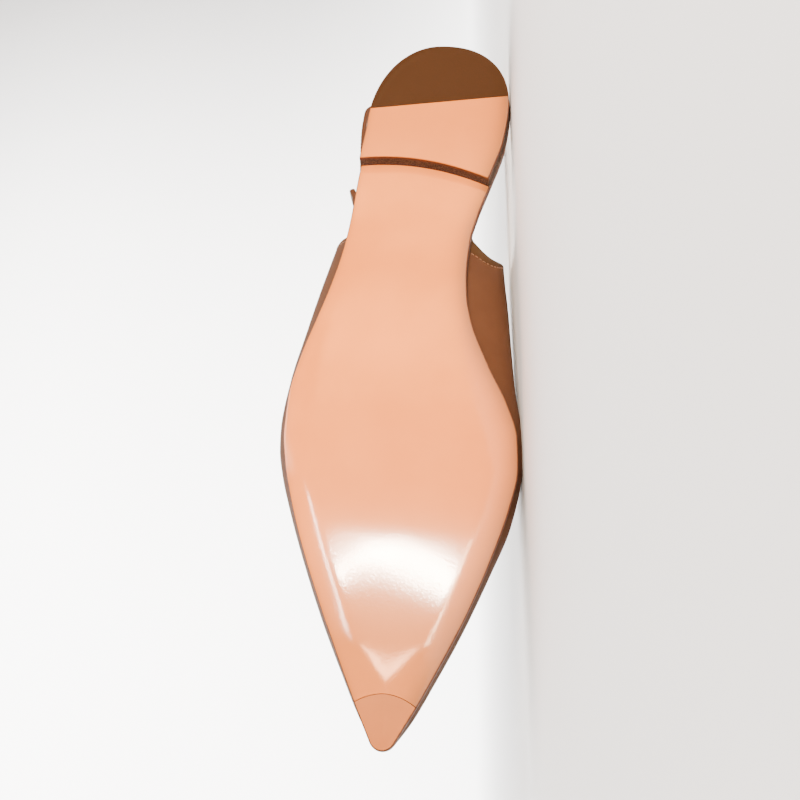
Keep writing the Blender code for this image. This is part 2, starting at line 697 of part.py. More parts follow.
def side_rest(objects):
    """Matrix that lays the shoe on the flat side of its hull that carries its centre of mass and is
    nearest to the floor the upper is pressed on, with the sole towards -Y, the toe towards -X and the
    middle of its underside at the origin."""
    graph = bpy.context.evaluated_depsgraph_get()
    hull = bmesh.new()
    mass, moment = 0.0, Vector()
    for obj in objects:
        part = bmesh.new()
        part.from_object(obj, graph)
        kind = "rubber" if "rubber" in obj.name else "metal" if "buckle" in obj.name else "leather"
        bmesh.ops.triangulate(part, faces=part.faces)
        for face in part.faces:
            a, b, c = (v.co for v in face.verts)
            share = a.dot(b.cross(c)) / 6 * DENSITY[kind]
            mass += share
            moment += share * (a + b + c) / 4
        for vert in part.verts:
            hull.verts.new(vert.co)
        part.free()
    centre = moment / mass
    floor_up = Vector((FLOOR_SLOPES[0], 1.0, -FLOOR_SLOPES[1])).normalized()
    up = None
    for face in bmesh.ops.convex_hull(hull, input=hull.verts)["geom"]:
        if not isinstance(face, bmesh.types.BMFace):
            continue
        inward = face.normal.normalized()
        if inward.dot(centre - face.verts[0].co) < 0:
            inward.negate()
        corners = [v.co for v in face.verts]
        turns = []
        for i in range(3):
            edge = corners[(i + 1) % 3] - corners[i]
            turns.append(edge.cross(centre - corners[i]).dot(inward))
        carries = min(turns) >= 0 or max(turns) <= 0
        if carries and (up is None or inward.dot(floor_up) > up.dot(floor_up)):
            up = inward
    points = [v.co.copy() for v in hull.verts]
    hull.free()
    heelwards = Vector((-1, 0, 0))
    x_axis = (heelwards - up * heelwards.dot(up)).normalized()
    turn = Matrix((x_axis, up.cross(x_axis), up))
    placed = np.array([turn @ p for p in points])
    low, high = placed.min(0), placed.max(0)
    shift = Vector(((low[0] + high[0]) / -2, (low[1] + high[1]) / -2, -low[2]))
    return Matrix.Translation(shift) @ turn.to_4x4()


def main():
    for obj in list(bpy.data.objects):
        bpy.data.objects.remove(obj)
    pieces = [make_outsole(), make_toe_insert(), *make_heel(), make_upper(), make_insole()]
    frame, prong = make_buckle()
    sling = band("sling_strap", SLING, MEDIAL, SLING_THICKNESS, 72, eye=EYE_THICKNESS)
    quarter = band("quarter_strap", QUARTER, LATERAL, QUARTER_THICKNESS, 34, round_tip=True)
    tools = cut_straps(sling, quarter)
    pieces += [sling, quarter, frame, prong]
    base = bpy.data.objects.new("lying_pose", None)
    bpy.context.scene.collection.objects.link(base)
    bpy.context.view_layer.update()
    pose = side_rest(pieces)
    for obj in pieces + tools:
        obj.parent = base
    base.matrix_world = pose


main()
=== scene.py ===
"""Slingback flat, left shoe, lying on its medial (inner) side: leather, linings, stitches, buckle, studio.

The pieces are shaped in the shoe's own frame, in millimetres: the heel's back at the origin on the plane of
the two treads, +X to the toe, +Y to the lateral (outer) side, +Z up from the sole. One matrix, worked out
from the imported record's two mounts, puts their points where the shoe lies.
"""

import json
from math import atan2, cos, pi, radians, sin

import bmesh
import bpy
import numpy as np
from mathutils import Matrix, Vector


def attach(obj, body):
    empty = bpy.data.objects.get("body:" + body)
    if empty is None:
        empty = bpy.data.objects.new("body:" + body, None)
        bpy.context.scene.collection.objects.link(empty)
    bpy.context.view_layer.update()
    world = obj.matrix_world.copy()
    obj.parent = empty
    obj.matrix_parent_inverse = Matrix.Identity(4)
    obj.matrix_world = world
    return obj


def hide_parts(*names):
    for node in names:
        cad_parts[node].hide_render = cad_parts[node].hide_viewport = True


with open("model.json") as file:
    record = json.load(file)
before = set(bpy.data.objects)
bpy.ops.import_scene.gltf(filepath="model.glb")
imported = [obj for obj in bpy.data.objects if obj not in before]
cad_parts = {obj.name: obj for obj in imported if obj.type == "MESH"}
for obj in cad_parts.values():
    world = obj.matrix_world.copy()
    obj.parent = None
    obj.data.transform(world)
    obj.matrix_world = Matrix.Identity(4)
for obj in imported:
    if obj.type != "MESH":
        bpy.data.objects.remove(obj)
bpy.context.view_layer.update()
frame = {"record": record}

bl_info = {
    "name": "Slingback Flat",
    "version": (1, 0, 0),
    "blender": (4, 5, 0),
    "location": "View3D > Sidebar > Slingback",
    "description": "Dresses a packed slingback flat in leather, lining, stitches and metal, and lights it",
    "category": "Object",
}

MM = 0.001
LATERAL, MEDIAL = 1, -1
QUARTER_TURN = 0.5 * pi

# The two mounts of the record on the tread plane: the first on the heel's centre line, the second off it.
HEEL_MOUNT_X = 45
FOREFOOT_MOUNT = (180, 3)

# Sole.
SOLE_LENGTH = 271.7
SOLE_THICKNESS = 3
GAP = 0.3
HEEL_RISE = 5
TREAD_THICKNESS = 1.6
SIDE_FLARE = {LATERAL: 0, MEDIAL: 0.5}
TREAD_RISE = 0.6
TOE_RADIUS = 4.2
TOE_CENTRE_Y = 0.7
TOE_ARC_X = 269.5
HEEL_CAP = {LATERAL: (40, 26.6, 2.05), MEDIAL: (32, 28.4, 2.25)}
BREAST_SLANT = 0.2
BAND_LIFT = 0.9

# Upper.
WALL = 1.5
FEATHER_INSET = 0.6
WING_X = 91.5
WING_SHARES = (0, 0.15, 0.36, 1)
WING_LEAN = {LATERAL: (-2.8, -4.4, -4.6, -12), MEDIAL: (-2.4, 0.8, -3, -9.5)}
THROAT_X = 187
NOSE_START = 262
NOSE_TIP = 271.1
NOSE_RECESS = 1.5
NOSE_HEIGHT = 14.5
LOWER_SHARE = 0.36
FLOOR_SPOT = (174, -37.75, 12)
FLOOR_SLOPES = (0.0617, 0.045)

# Insole, straps and buckle.
INSOLE_THICKNESS = 2
INSOLE_ROUND = 0.8
INSOLE_ENDS = (0.6, 262)
STRAP_WIDTH = 10
SLING_THICKNESS = 2
QUARTER_THICKNESS = 1.6
EYE_THICKNESS = 4.4
EYE_WIDTH = 9.2
WING_GAP = 0.15
WING_STATIONS = (97, 92, 87, 82)
WING_BAND_Z = {LATERAL: 38.3, MEDIAL: 40.8}
WIRE_RADIUS = 0.8
PRONG_RADIUS = 0.6
FRAME_HEIGHT = 12.8
FRAME_CORNER = 1.5
BUCKLE_Z = 38
REAR_BAR = (54, 31)
FRONT_BAR = (64, 32.9)
PRONG_CROSSING = ((56.8, 30), (62.2, 34))
PINHOLES_X = (72, 79)

# The camera and what it looks at, in the shoe's own frame.
CAMERA_PLACE = (304.2, -36.2, -298.2)
CAMERA_TARGET = (153.1, 5.5, 15)
CAMERA_UP = (-0.8981, 0.0348, -0.4384)
CAMERA_LENS = 44.55

# The lights in front, a metre off: name, (x, z) of the middle, (width, height), lean, power, colour. The
# sole's gloss mirrors the window on its forefoot, the strips along the crest of its bevel, the side card
# at its toe and the three faint cards at its waist.
WINDOW_TINT = (1, 0.84, 0.66)
WAIST_TINT = (1, 0.36, 0.1)
FRONT_LIGHTS = (
    ("left_window", (0.034, 0.289), (0.03, 0.09), -38, 5, WINDOW_TINT),
    ("middle_window", (0.07, 0.215), (0.06, 0.066), 0, 7.6, WINDOW_TINT),
    ("right_window", (0.02, 0.128), (0.056, 0.138), 40, 13, WINDOW_TINT),
    ("high_strip", (0.0375, 0.45), (0.425, 0.024), 0, 5.6, (1, 0.86, 0.74)),
    ("low_strip", (-0.08, 0.035), (0.32, 0.024), 0, 3.3, (1, 0.66, 0.42)),
    ("side_card", (-0.235, 0.215), (0.07, 0.17), 0, 3.6, (1, 0.5, 0.28)),
    ("waist_card_near", (0.575, 0.19), (0.16, 0.4), 0, 1.4, WAIST_TINT),
    ("waist_card_middle", (0.755, 0.19), (0.2, 0.4), 0, 3.4, WAIST_TINT),
    ("waist_card_far", (0.89, 0.19), (0.07, 0.4), 0, 0.6, WAIST_TINT),
)


def table(names, *rows):
    """Columns of a table by name, as arrays."""
    return dict(zip(names, np.array(rows, float).T))


# Half widths of the tread at its stations, from the heel's widest place to the toe.
OUTLINE = table(
    ("x", LATERAL, MEDIAL),
    (48, 27.2, 27), (64, 28.4, 22.9), (80, 29.2, 18.4), (92, 30.1, 16.1), (104, 31.6, 15.6),
    (116, 33.8, 16.3), (128, 36.5, 18.7), (144, 40.2, 24.9), (160, 42.4, 32.4), (172, 42.2, 36.1),
    (184, 40.2, 36.7), (196, 36.8, 34.6), (210, 31.9, 30.5), (232, 22.6, 22.2), (256, 11.3, 10.5),
    (269.5, 4.4, 3),
)

# Height of the outsole's underside along its centre: heel seat, arch, flat tread, toe spring.
UNDERSIDE = table(
    ("x", "z"),
    (0, HEEL_RISE), (60, HEEL_RISE), (75, 4.9), (90, 4.4), (110, 3), (130, 1.5), (148, 0.45), (163, 0),
    (198, 0), (215, 1), (230, 2.3), (245, 4.1), (260, 6.3), (272, 8.3),
)

# Width of the bevelled band inside the sole's outline. It takes over the whole sole near the toe.
BAND = table(
    ("x", "width"),
    (60, 6), (190, 5.8), (215, 6.9), (241, 6.9), (245, 8.3), (249, 10), (254, 12.4),
)

# Sections of the last: its crown, and the fullest point of either side above the sole.
UPPER = table(
    ("x", "crown_y", "crown_z", (LATERAL, "y"), (LATERAL, "z"), (MEDIAL, "y"), (MEDIAL, "z")),
    (76, 1, 68, 34.8, 23.5, 27.6, 29.5), (92, 0, 67, 37.1, 19.5, 28.9, 27),
    (110, 0, 64.5, 39.9, 17, 31.1, 25), (130, -2, 60.5, 42.5, 14.5, 33, 19.5),
    (150, -4, 55, 44.8, 12, 35.1, 14.5), (165, -4.5, 50, 45.2, 9.2, 37.6, 12.6),
    (177, -4, 45.8, 44.2, 8.2, 38.5, 12), (187, -3.4, 42, 41.8, 8, 37.5, 11.6),
    (200, -2.5, 37.6, 37.3, 8.2, 34.9, 10.8), (215, -1.2, 33.2, 31.4, 9, 29.5, 10.4),
    (235, 0, 28.4, 22.6, 10.6, 21.3, 10.9), (250, 0.4, 25.2, 15.1, 12.2, 13.9, 12.5),
    (262, 0.7, 22.4, 8.8, 13.8, 7.5, 13.9), (269.5, 0.7, 20.4, 3.7, 14.4, 2.3, 14.4),
)

# How far the opening reaches down either side of the last, in degrees of arch from its crown.
OPENING = table(
    ("x", LATERAL, MEDIAL),
    (187, 0, 0), (185, 8, 8), (182, 14.5, 14.5), (176, 25, 25), (165, 39, 39), (150, 52, 52),
    (130, 62, 63), (110, 64, 66), (92, 61, 60.5), (76, 59, 59.5),
)

# Middle line of the sling strap behind the wing, and the lean of its upper edge towards the foot.
SLING = (
    (75.5, -17.9, 42.4, 1.4), (69.5, -14.7, 43.6, 0.8), (62, -12.9, 44.2, 0.3), (52, -13.8, 44.4, 0),
    (40, -16.8, 44.6, 0), (27, -19.6, 45.2, 0.2), (14, -20.6, 46, 0.5), (4, -17.6, 47, 1),
    (-2, -10.6, 47.8, 1.2), (-4.4, -1, 48, 1.2), (-4.9, 10, 47, 1.2), (-4.8, 21, 44.2, 1),
    (-2.4, 30, 41.6, 0.8), (3.3, 34.4, 39.1, 0.5), (13.5, 34.7, 38.1, 0.2), (27, 34, 38, 0),
    (39, 32.8, 38, 0), (48, 31.6, 38, 0), (56.2, 31, 38, 0),
)

# Middle line of the quarter strap from the wing, under the buckle's front bar, over its rear bar.
QUARTER = (
    (76, 31.2, 38, 0.9), (70, 30.9, 38, 0.3), (65.5, 30.9, 38, 0), (62.5, 31.3, 38, 0),
    (59, 32.8, 38, 0), (55.5, 34.2, 38, 0), (50.6, 35.2, 38, 0), (44.6, 37.1, 38, 0),
)


def linear(colour):
    """Linear RGB of an sRGB hex colour."""
    parts = [int(colour[i : i + 2], 16) / 255 for i in (0, 2, 4)]
    return tuple(c / 12.92 if c <= 0.04045 else ((c + 0.055) / 1.055) ** 2.4 for c in parts)


def shoe_matrix():
    """Matrix from the shoe's own frame, in millimetres, to the lying shoe, in metres. The mounts' axis
    points down out of the sole, and the line between the mounts fixes the way to the toe."""
    mounts = {mount["name"]: mount for mount in frame["record"]["mounts"]}
    heel, forefoot = (Vector(mounts[name]["pos_m"]) for name in ("heel_tread", "forefoot_tread"))
    up = -Vector(mounts["heel_tread"]["axis"]).normalized()
    run = (forefoot - heel).normalized()
    run = (run - up * run.dot(up)).normalized()
    toe = Matrix.Rotation(-atan2(FOREFOOT_MOUNT[1], FOREFOOT_MOUNT[0] - HEEL_MOUNT_X), 3, up) @ run
    turn = Matrix((toe, up.cross(toe), up)).transposed().to_4x4()
    return Matrix.Translation(heel - toe * HEEL_MOUNT_X * MM) @ turn @ Matrix.Scale(MM, 4)


SHOE = shoe_matrix()


# ---- curves and surfaces of the shoe


def unit(t):
    """t, held between 0 and 1."""
    return np.clip(t, 0, 1)


def smooth_step(t):
    """0 below 0, 1 above 1, and the smooth rise 3 t^2 - 2 t^3 between."""
    t = unit(t)
    return t * t * (3 - 2 * t)


def points_of(x, y, z):
    """Points from their three coordinates."""
    return np.stack(np.broadcast_arrays(x, y, z), -1)


def normed(vectors):
    """Vectors along the last axis, scaled to length 1."""
    return vectors / np.maximum(np.linalg.norm(vectors, axis=-1), 1e-12)[..., None]


def arc_lengths(line):
    """Length along a line of points up to each of them."""
    return np.r_[0, np.cumsum(np.linalg.norm(np.diff(line, axis=0), axis=1))]


def spline(knots, values, x):
    """Smooth cubic curve through the knots. A knot's slope is the harmonic mean of the slopes beside it, and
    0 where they differ in sign, so the curve never swings past its knots."""
    knots, values = np.asarray(knots, float), np.asarray(values, float)
    steps = np.diff(values) / np.diff(knots)
    before, after = np.r_[steps[0], steps], np.r_[steps, steps[-1]]
    same = before * after > 0
    slopes = np.where(same, 2 * before * after / np.where(same, before + after, 1), 0)
    x = np.clip(np.asarray(x, float), knots[0], knots[-1])
    i = np.clip(np.searchsorted(knots, x, side="right") - 1, 0, len(knots) - 2)
    span = knots[i + 1] - knots[i]
    t = (x - knots[i]) / span
    start = (1 + 2 * t) * (1 - t) ** 2 * values[i] + t * (1 - t) ** 2 * span * slopes[i]
    end = t * t * (3 - 2 * t) * values[i + 1] + t * t * (t - 1) * span * slopes[i + 1]
    return start + end


def read(columns, name, x):
    """A column of a table at x."""
    return spline(columns["x"], columns[name], x)


def closing(start, end, count):
    """Stations from start to end, drawn together at the start, where the form closes to a point."""
    return start + (end - start) * (1 - np.cos(np.linspace(0, 0.5 * pi, count)))


def pointed_arc(x, radius, tip_x):
    """Half width of the round end of a pointed outline: an arc of that radius that ends at tip_x."""
    reach = np.clip(np.asarray(x, float) - (tip_x - radius), 0, radius)
    return np.sqrt(radius**2 - reach**2)


def rounding_drop(near, radius):
    """How far a rounded edge falls back at a distance from it: a quarter of a circle."""
    return radius * (1 - np.sqrt(1 - unit(1 - near / radius) ** 2))


def tread_edge(x, side):
    """Signed y of the tread's outline: a round heel, half (1 - (1 - x / length)^p)^(1/p), a smooth run of
    stations, and an arc at the toe."""
    x = np.asarray(x, float)
    length, half, power = HEEL_CAP[side]
    heel = half * (1 - unit((length - x) / length) ** power) ** (1 / power)
    knots = np.r_[length - 8, length, OUTLINE["x"]]
    run = spline(knots, np.r_[half, half, OUTLINE[side]], x)
    toe = side * TOE_CENTRE_Y + pointed_arc(x, TOE_RADIUS, SOLE_LENGTH)
    half_width = np.where(x < length, heel, np.where(x < knots[-1], run, toe))
    at_tip = smooth_step((x - (SOLE_LENGTH - 0.05)) / 0.05)
    return side * half_width * (1 - at_tip) + TOE_CENTRE_Y * at_tip


def sole_edge(x, side, rise=1):
    """Signed y of the sole's side: the tread's outline, flared outwards by rise at heel and waist."""
    x = np.asarray(x, float)
    flare = SIDE_FLARE[side] * (1 - 0.8 * smooth_step((x - 95) / 50))
    ends = unit(np.minimum(x, SOLE_LENGTH - x) / 6)
    return tread_edge(x, side) + side * flare * rise * ends


def underside(x):
    """Height of the outsole's underside on its centre line. The curve through the stations is averaged
    over a short reach, so that the gloss shows no break between them."""
    reach = np.clip(SOLE_LENGTH - np.asarray(x, float), 0, 10)
    offsets = np.linspace(-1, 1, 9)
    weights = np.cos(0.4 * pi * offsets) ** 2
    heights = [read(UNDERSIDE, "z", x + reach * o) for o in offsets]
    return sum(w * z for w, z in zip(weights / weights.sum(), heights))


def across(x, share, rise=1, inset=0):
    """y of the point that lies a share (-1 medial edge, 1 lateral edge) of the way over the sole at x."""
    lateral = sole_edge(x, LATERAL, rise) - inset
    medial = sole_edge(x, MEDIAL, rise) + inset
    return 0.5 * (lateral + medial) + 0.5 * np.maximum(lateral - medial, 0) * share


def edge_distance(x, y, rise=TREAD_RISE):
    """Distance of points from the sole's outline, in the plane of the sole."""
    run = SOLE_LENGTH * 0.5 * (1 - np.cos(np.linspace(0, pi, 500)))
    near = np.full(x.shape, 1e9)
    for side in (LATERAL, MEDIAL):
        edge = sole_edge(run, side, rise)
        steps = np.stack((np.diff(run), np.diff(edge)), 1)
        squares = (steps**2).sum(1)
        for i in range(0, len(squares), 50):
            part = slice(i, i + 50)
            dx = x[..., None] - run[:-1][part]
            dy = y[..., None] - edge[:-1][part]
            t = unit((dx * steps[part, 0] + dy * steps[part, 1]) / squares[part])
            gap = np.hypot(dx - t * steps[part, 0], dy - t * steps[part, 1])
            near = np.minimum(near, gap.min(-1))
    return near


def toe_joint(y):
    """x of the joint between outsole and toe insert: a shallow curve, hollow towards the toe."""
    return 255.6 + 0.034 * (y - 0.8) ** 2


def breast(y):
    """x of the heel's front face: a shallow curve that runs further forward on the medial side."""
    return 56.9 + 0.0063 * (y - 18) ** 2


def tread_joint(y):
    """x of the straight joint between the heel's rubber and its leather."""
    return 29.8 + 0.116 * y


def on_joint(joint, share, rise=1):
    """x at which a line across the sole meets a joint, a share of the way over the sole."""
    x = joint(np.zeros(share.shape))
    for _ in range(8):
        x = joint(across(x, share, rise))
    return x


def nose(x):
    """1 along the upper, falling to 0 at its tip as a quarter of an ellipse."""
    return np.sqrt(1 - unit((x - NOSE_START) / (NOSE_TIP - NOSE_START)) ** 2)


def full_side(x, side):
    """(y, z) of the fullest point of the upper's side at x."""
    arc = TOE_CENTRE_Y + side * pointed_arc(x, NOSE_TIP - (SOLE_LENGTH - TOE_RADIUS), NOSE_TIP)
    y = np.where(x < TOE_ARC_X, side * read(UPPER, (side, "y"), x), arc)
    return y, read(UPPER, (side, "z"), x)


def crown(x):
    """(y, z) of the upper's crown at x, rounded down to the nose."""
    z = read(UPPER, "crown_z", np.minimum(x, NOSE_START))
    return read(UPPER, "crown_y", x), NOSE_HEIGHT + (z - NOSE_HEIGHT) * nose(x)


def opening_edge(x, side):
    """Arch angle of the opening's edge above the side's fullest point, in radians (a quarter turn is
    the crown). It is smooth in the root of the distance from the throat, which rounds the throat."""
    knots = np.sqrt(THROAT_X - OPENING["x"])
    reach = np.sqrt(np.clip(THROAT_X - x, 0, None))
    return radians(90) - np.radians(spline(knots, OPENING[side], reach))


def upper_points(x, share, side):
    """Points on the outside of one half of the upper. share s runs from 0 at the sole, past the fullest
    point at LOWER_SHARE, to 1 at the opening's edge or the crown. Below, y goes out with the sine of s.
    Above, the section is a quarter ellipse: y = crown + (full - crown) cos a, z = full + (crown - full)
    sin a. The side is flat where it lies on the floor."""
    x = x + spline(WING_SHARES, WING_LEAN[side], share) * unit((150 - x) / (150 - WING_X)) ** 1.5
    rim_x = x - NOSE_RECESS * unit((x - NOSE_START) / (NOSE_TIP - NOSE_START)) ** 2
    rim_y = sole_edge(rim_x, side) - side * FEATHER_INSET
    rim_y = np.where(side * (rim_y - TOE_CENTRE_Y) > 0, rim_y, TOE_CENTRE_Y)
    rim_y = np.where(x > NOSE_TIP - 0.01, TOE_CENTRE_Y, rim_y)
    rim_z = underside(rim_x) + SOLE_THICKNESS + GAP
    full_y, full_z = full_side(x, side)
    crown_y, crown_z = crown(x)
    up = unit(share / LOWER_SHARE)
    rise = np.sin(QUARTER_TURN * up)
    low = (rim_x + (x - rim_x) * rise, rim_y + (full_y - rim_y) * rise, rim_z + (full_z - rim_z) * up)
    arch = opening_edge(x, side) * unit((share - LOWER_SHARE) / (1 - LOWER_SHARE))
    high_y = crown_y + (full_y - crown_y) * np.cos(arch)
    high_z = full_z + (crown_z - full_z) * np.sin(arch)
    grid = np.where((share < LOWER_SHARE)[..., None], points_of(*low), points_of(x, high_y, high_z))
    along, up = grid[..., 0] - FLOOR_SPOT[0], grid[..., 2] - FLOOR_SPOT[2]
    floor = FLOOR_SPOT[1] - FLOOR_SLOPES[0] * along + FLOOR_SLOPES[1] * up
    grid[..., 1] = np.maximum(grid[..., 1], floor)
    return grid


def wing_inside(x, z, side, depth):
    """y of the surface that lies a depth inside the upper's wing at x and height z."""
    full_y, full_z = full_side(x, side)
    crown_y, crown_z = crown(x)
    sine = (z - full_z) / (crown_z - full_z)
    cosine = np.sqrt(1 - sine**2)
    slope = (full_y - crown_y) * sine / ((crown_z - full_z) * cosine)
    return crown_y + (full_y - crown_y) * cosine - side * depth * np.hypot(1, slope)


# ---- meshes


def grid_quads(index):
    """Faces between the neighbours of an (n, m) array of point numbers."""
    return np.stack((index[:-1, :-1], index[1:, :-1], index[1:, 1:], index[:-1, 1:]), -1).reshape(-1, 4)


def border(index):
    """The point numbers round a grid, in order."""
    return np.r_[index[0], index[1:-1, -1], index[-1, ::-1], index[1:-1, 0][::-1]]


def add_object(name, data):
    """Adds an object to the scene."""
    item = bpy.data.objects.new(name, data)
    bpy.context.scene.collection.objects.link(item)
    return item


def new_piece(name, points, quads, materials, slots, node, layer=None):
    """Makes a smooth, closed piece from points in the shoe's frame, in the place of a node if one is named.
    A quad that names a point twice becomes a triangle. layer: a number's name and its value per point."""
    turn = np.array(SHOE)
    placed = np.asarray(points, float).reshape(-1, 3) @ turn[:3, :3].T + turn[:3, 3]
    faces = [list(dict.fromkeys(quad)) for quad in quads.tolist()]
    keep = [i for i, face in enumerate(faces) if len(face) > 2]
    mesh = bpy.data.meshes.new(name)
    mesh.from_pydata(placed, [], [faces[i] for i in keep])
    mesh.polygons.foreach_set("material_index", np.asarray(slots, np.int32)[keep])
    if layer:
        mesh.attributes.new(layer[0], "FLOAT", "POINT").data.foreach_set("value", np.float32(layer[1]))
    bm = bmesh.new()
    bm.from_mesh(mesh)
    bmesh.ops.remove_doubles(bm, verts=bm.verts, dist=2e-7)
    bmesh.ops.dissolve_degenerate(bm, edges=bm.edges, dist=1e-8)
    bmesh.ops.recalc_face_normals(bm, faces=bm.faces)
    bm.to_mesh(mesh)
    bm.free()
    for material in materials:
        mesh.materials.append(material)
    mesh.shade_smooth()
    mesh.set_sharp_from_angle(angle=radians(60))
    piece = add_object(name, mesh)
    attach(piece, "root")
    if node:
        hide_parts(node)
    return piece


def cut(piece, tools):
    """Cuts tools out of a piece, keeps the result as its mesh, and deletes the tools."""
    for tool in tools:
        modifier = piece.modifiers.new(tool.name, "BOOLEAN")
        modifier.operation = "DIFFERENCE"
        modifier.object = tool
    shaped = piece.evaluated_get(bpy.context.evaluated_depsgraph_get())
    mesh = bpy.data.meshes.new_from_object(shaped)
    piece.modifiers.clear()
    old, piece.data = piece.data, mesh
    bpy.data.meshes.remove(old)
    for tool in tools:
        bpy.data.objects.remove(tool)


def slab_piece(name, bottom, top, paint, materials, node, slot, shade=None):
    """Closed solid between two grids. materials are for bottom, wall and top; bottom faces where paint is
    true take the wall's. shade is the bottom's share of painted shade, 0 to 1."""
    rows, columns, _ = bottom.shape
    low = np.arange(rows * columns).reshape(rows, columns)
    high = low + rows * columns
    ring_low, ring_high = border(low), border(high)
    wall = np.stack((ring_low, np.roll(ring_low, -1), np.roll(ring_high, -1), ring_high), -1)
    painted = (paint[:-1, :-1] & paint[1:, 1:]).ravel().astype(int)
    quads = np.r_[grid_quads(low), wall, grid_quads(high)]
    slots = np.r_[painted, np.full(len(wall), 1), np.full(painted.size, 2)]
    layer = None if shade is None else ("edge_shade", np.stack((shade, 0 * shade)).ravel())
    return new_piece(name, np.stack((bottom, top)), quads, materials, slots, node, layer)


def rings_piece(name, rings, materials, slots, node, closed=False):
    """Solid through an (n, m, 3) array of rings, with fans at its ends unless it is a loop. slots gives the
    material of each face round a ring."""
    count, sides, _ = rings.shape
    index = np.arange(count * sides).reshape(count, sides)
    index = np.concatenate((index, index[:, :1]), 1)
    if closed:
        index = np.r_[index, index[:1]]
    quads = grid_quads(index)
    points = rings.reshape(-1, 3)
    every = np.tile(slots, len(index) - 1)
    if not closed:
        points = np.r_[points, rings[[0, -1]].mean(1)]
        for row, tip in ((0, count * sides), (count - 1, count * sides + 1)):
            ring = row * sides + np.arange(sides)
            tips = np.full(sides, tip)
            quads = np.r_[quads, np.stack((ring, np.roll(ring, -1), tips, tips), -1)]
            every = np.r_[every, np.full(sides, min(1, max(slots)))]
    return new_piece(name, points, quads, materials, every, node)


# ---- materials


class Surface:
    """A material in the making: its nodes, its Principled shader and the object's coordinates."""

    def __init__(self, name, roughness, **inputs):
        self.material = bpy.data.materials.new(name)
        self.material.use_nodes = True
        self.tree = self.material.node_tree
        self.shader = self.tree.nodes["Principled BSDF"]
        for key, value in {"Roughness": roughness, **inputs}.items():
            self.shader.inputs[key.replace("_", " ")].default_value = value
        self.place = self.add("TexCoord").outputs["Object"]

    def add(self, kind, inputs=None, **settings):
        """Adds one node: settings are its own properties, inputs its sockets' values or their sources."""
        node = self.tree.nodes.new("ShaderNode" + kind)
        for key, value in settings.items():
            setattr(node, key, value)
        for key, value in (inputs or {}).items():
            if isinstance(value, bpy.types.NodeSocket):
                self.tree.links.new(value, node.inputs[key])
            else:
                node.inputs[key].default_value = value
        return node

    def noise(self, size_mm, detail=2, place=None):
        """Soft clouds of a size, 0 to 1."""
        inputs = {"Vector": place or self.place, "Scale": 1 / (size_mm * MM), "Detail": detail}
        return self.add("TexNoise", inputs).outputs["Fac"]

    def blend(self, value, start, end, first, last):
        """Colour that turns from first to last as a value runs from start to end."""
        share = self.add("MapRange", {"Value": value, "From Min": start, "From Max": end})
        inputs = {0: share.outputs["Result"], 6: first, 7: (*last, 1)}
        mixed = self.add("Mix", inputs, data_type="RGBA")
        self.tree.links.new(mixed.outputs[2], self.shader.inputs["Base Color"])
        return self

    def mottle(self, light, dark, size_mm, start=0.35, end=0.65):
        """Colour that drifts between two tones in soft clouds of a size."""
        return self.blend(self.noise(size_mm, 3), start, end, (*dark, 1), light)

    def shade_by(self, layer, start, end, colour):
        """Colour that turns to another one as a number kept at the points runs from start to end."""
        reach = self.add("Attribute", attribute_name=layer).outputs["Fac"]
        return self.blend(reach, start, end, self.shader.inputs["Base Color"].links[0].from_socket, colour)

    def bump(self, height, depth_mm):
        """Bump of a depth, on top of the last one."""
        inputs = {"Height": height, "Distance": depth_mm * MM}
        under = self.shader.inputs["Normal"].links
        if under:
            inputs["Normal"] = under[0].from_socket
        self.tree.links.new(self.add("Bump", inputs).outputs["Normal"], self.shader.inputs["Normal"])
        return self


def lacquered_sole_leather(own):
    """Vegetable-tanned sole leather, sanded and lacquered nude: a smooth gloss that softly blurs what it
    mirrors, over a faint cloudy tone."""
    look = Surface("lacquered_sole_leather", 0.4, Specular_IOR_Level=0.1, Coat_Weight=1, Coat_Roughness=0.1)
    # Painted shade: the edge_shade number turns the base colour darker along the sole's edge, broadly on the
    # medial side, and over the toe and heel.
    look.mottle(own.sole_tone, own.sole_shade, 22).shade_by("edge_shade", 0, 1, own.painted_shade_tone)
    fibre = look.add("Mapping", {"Vector": look.place, "Scale": (1, 0.16, 1)}).outputs["Vector"]
    look.bump(look.noise(0.9), 0.01).bump(look.noise(0.6, place=fibre), 0.008).bump(look.noise(26, 1), 0.16)
    normal = look.shader.inputs["Normal"].links[0].from_socket
    look.tree.links.new(normal, look.shader.inputs["Coat Normal"])
    return look.material


def plain_leather(name, light, dark, roughness, grain_mm, depth_mm, wedge=None, **inputs):
    """Finished leather: two close tones in clouds, and a grain of small rounded cells. wedge is the painted
    shade tone behind the stitches of the medial wing."""
    look = Surface(name, roughness, **inputs).mottle(light, dark, 14)
    if wedge:
        look.shade_by("wedge_mm", 0.02, 0.25, wedge)
    cells = {"Vector": look.place, "Scale": 1 / (grain_mm * MM)}
    look.bump(look.add("TexVoronoi", cells, feature="SMOOTH_F1").outputs["Distance"], depth_mm)
    return look.bump(look.noise(grain_mm / 2.5), 0.5 * depth_mm).material


def calf_leather(own):
    """Smooth box calf, aniline dyed: a low soft sheen over fine grain."""
    tones = own.upper_tone, own.upper_shade
    return plain_leather("smooth_calf", *tones, 0.72, 0.55, 0.02, own.painted_wedge_shade_tone, Specular_IOR_Level=0.14)


def speckled(name, light, dark, roughness, speck_mm, depth_mm):
    """Ground leather board or rubber: a matt surface with fine light specks."""
    look = Surface(name, roughness, Specular_IOR_Level=0.08).mottle(light, dark, speck_mm, 0.42, 0.72)
    return look.bump(look.noise(speck_mm, 3), depth_mm).material


def lining_leather(name, own):
    """Undyed kid lining: pale and matt."""
    return plain_leather(name, own.lining_tone, linear("D2AD8C"), 0.6, 0.7, 0.02)


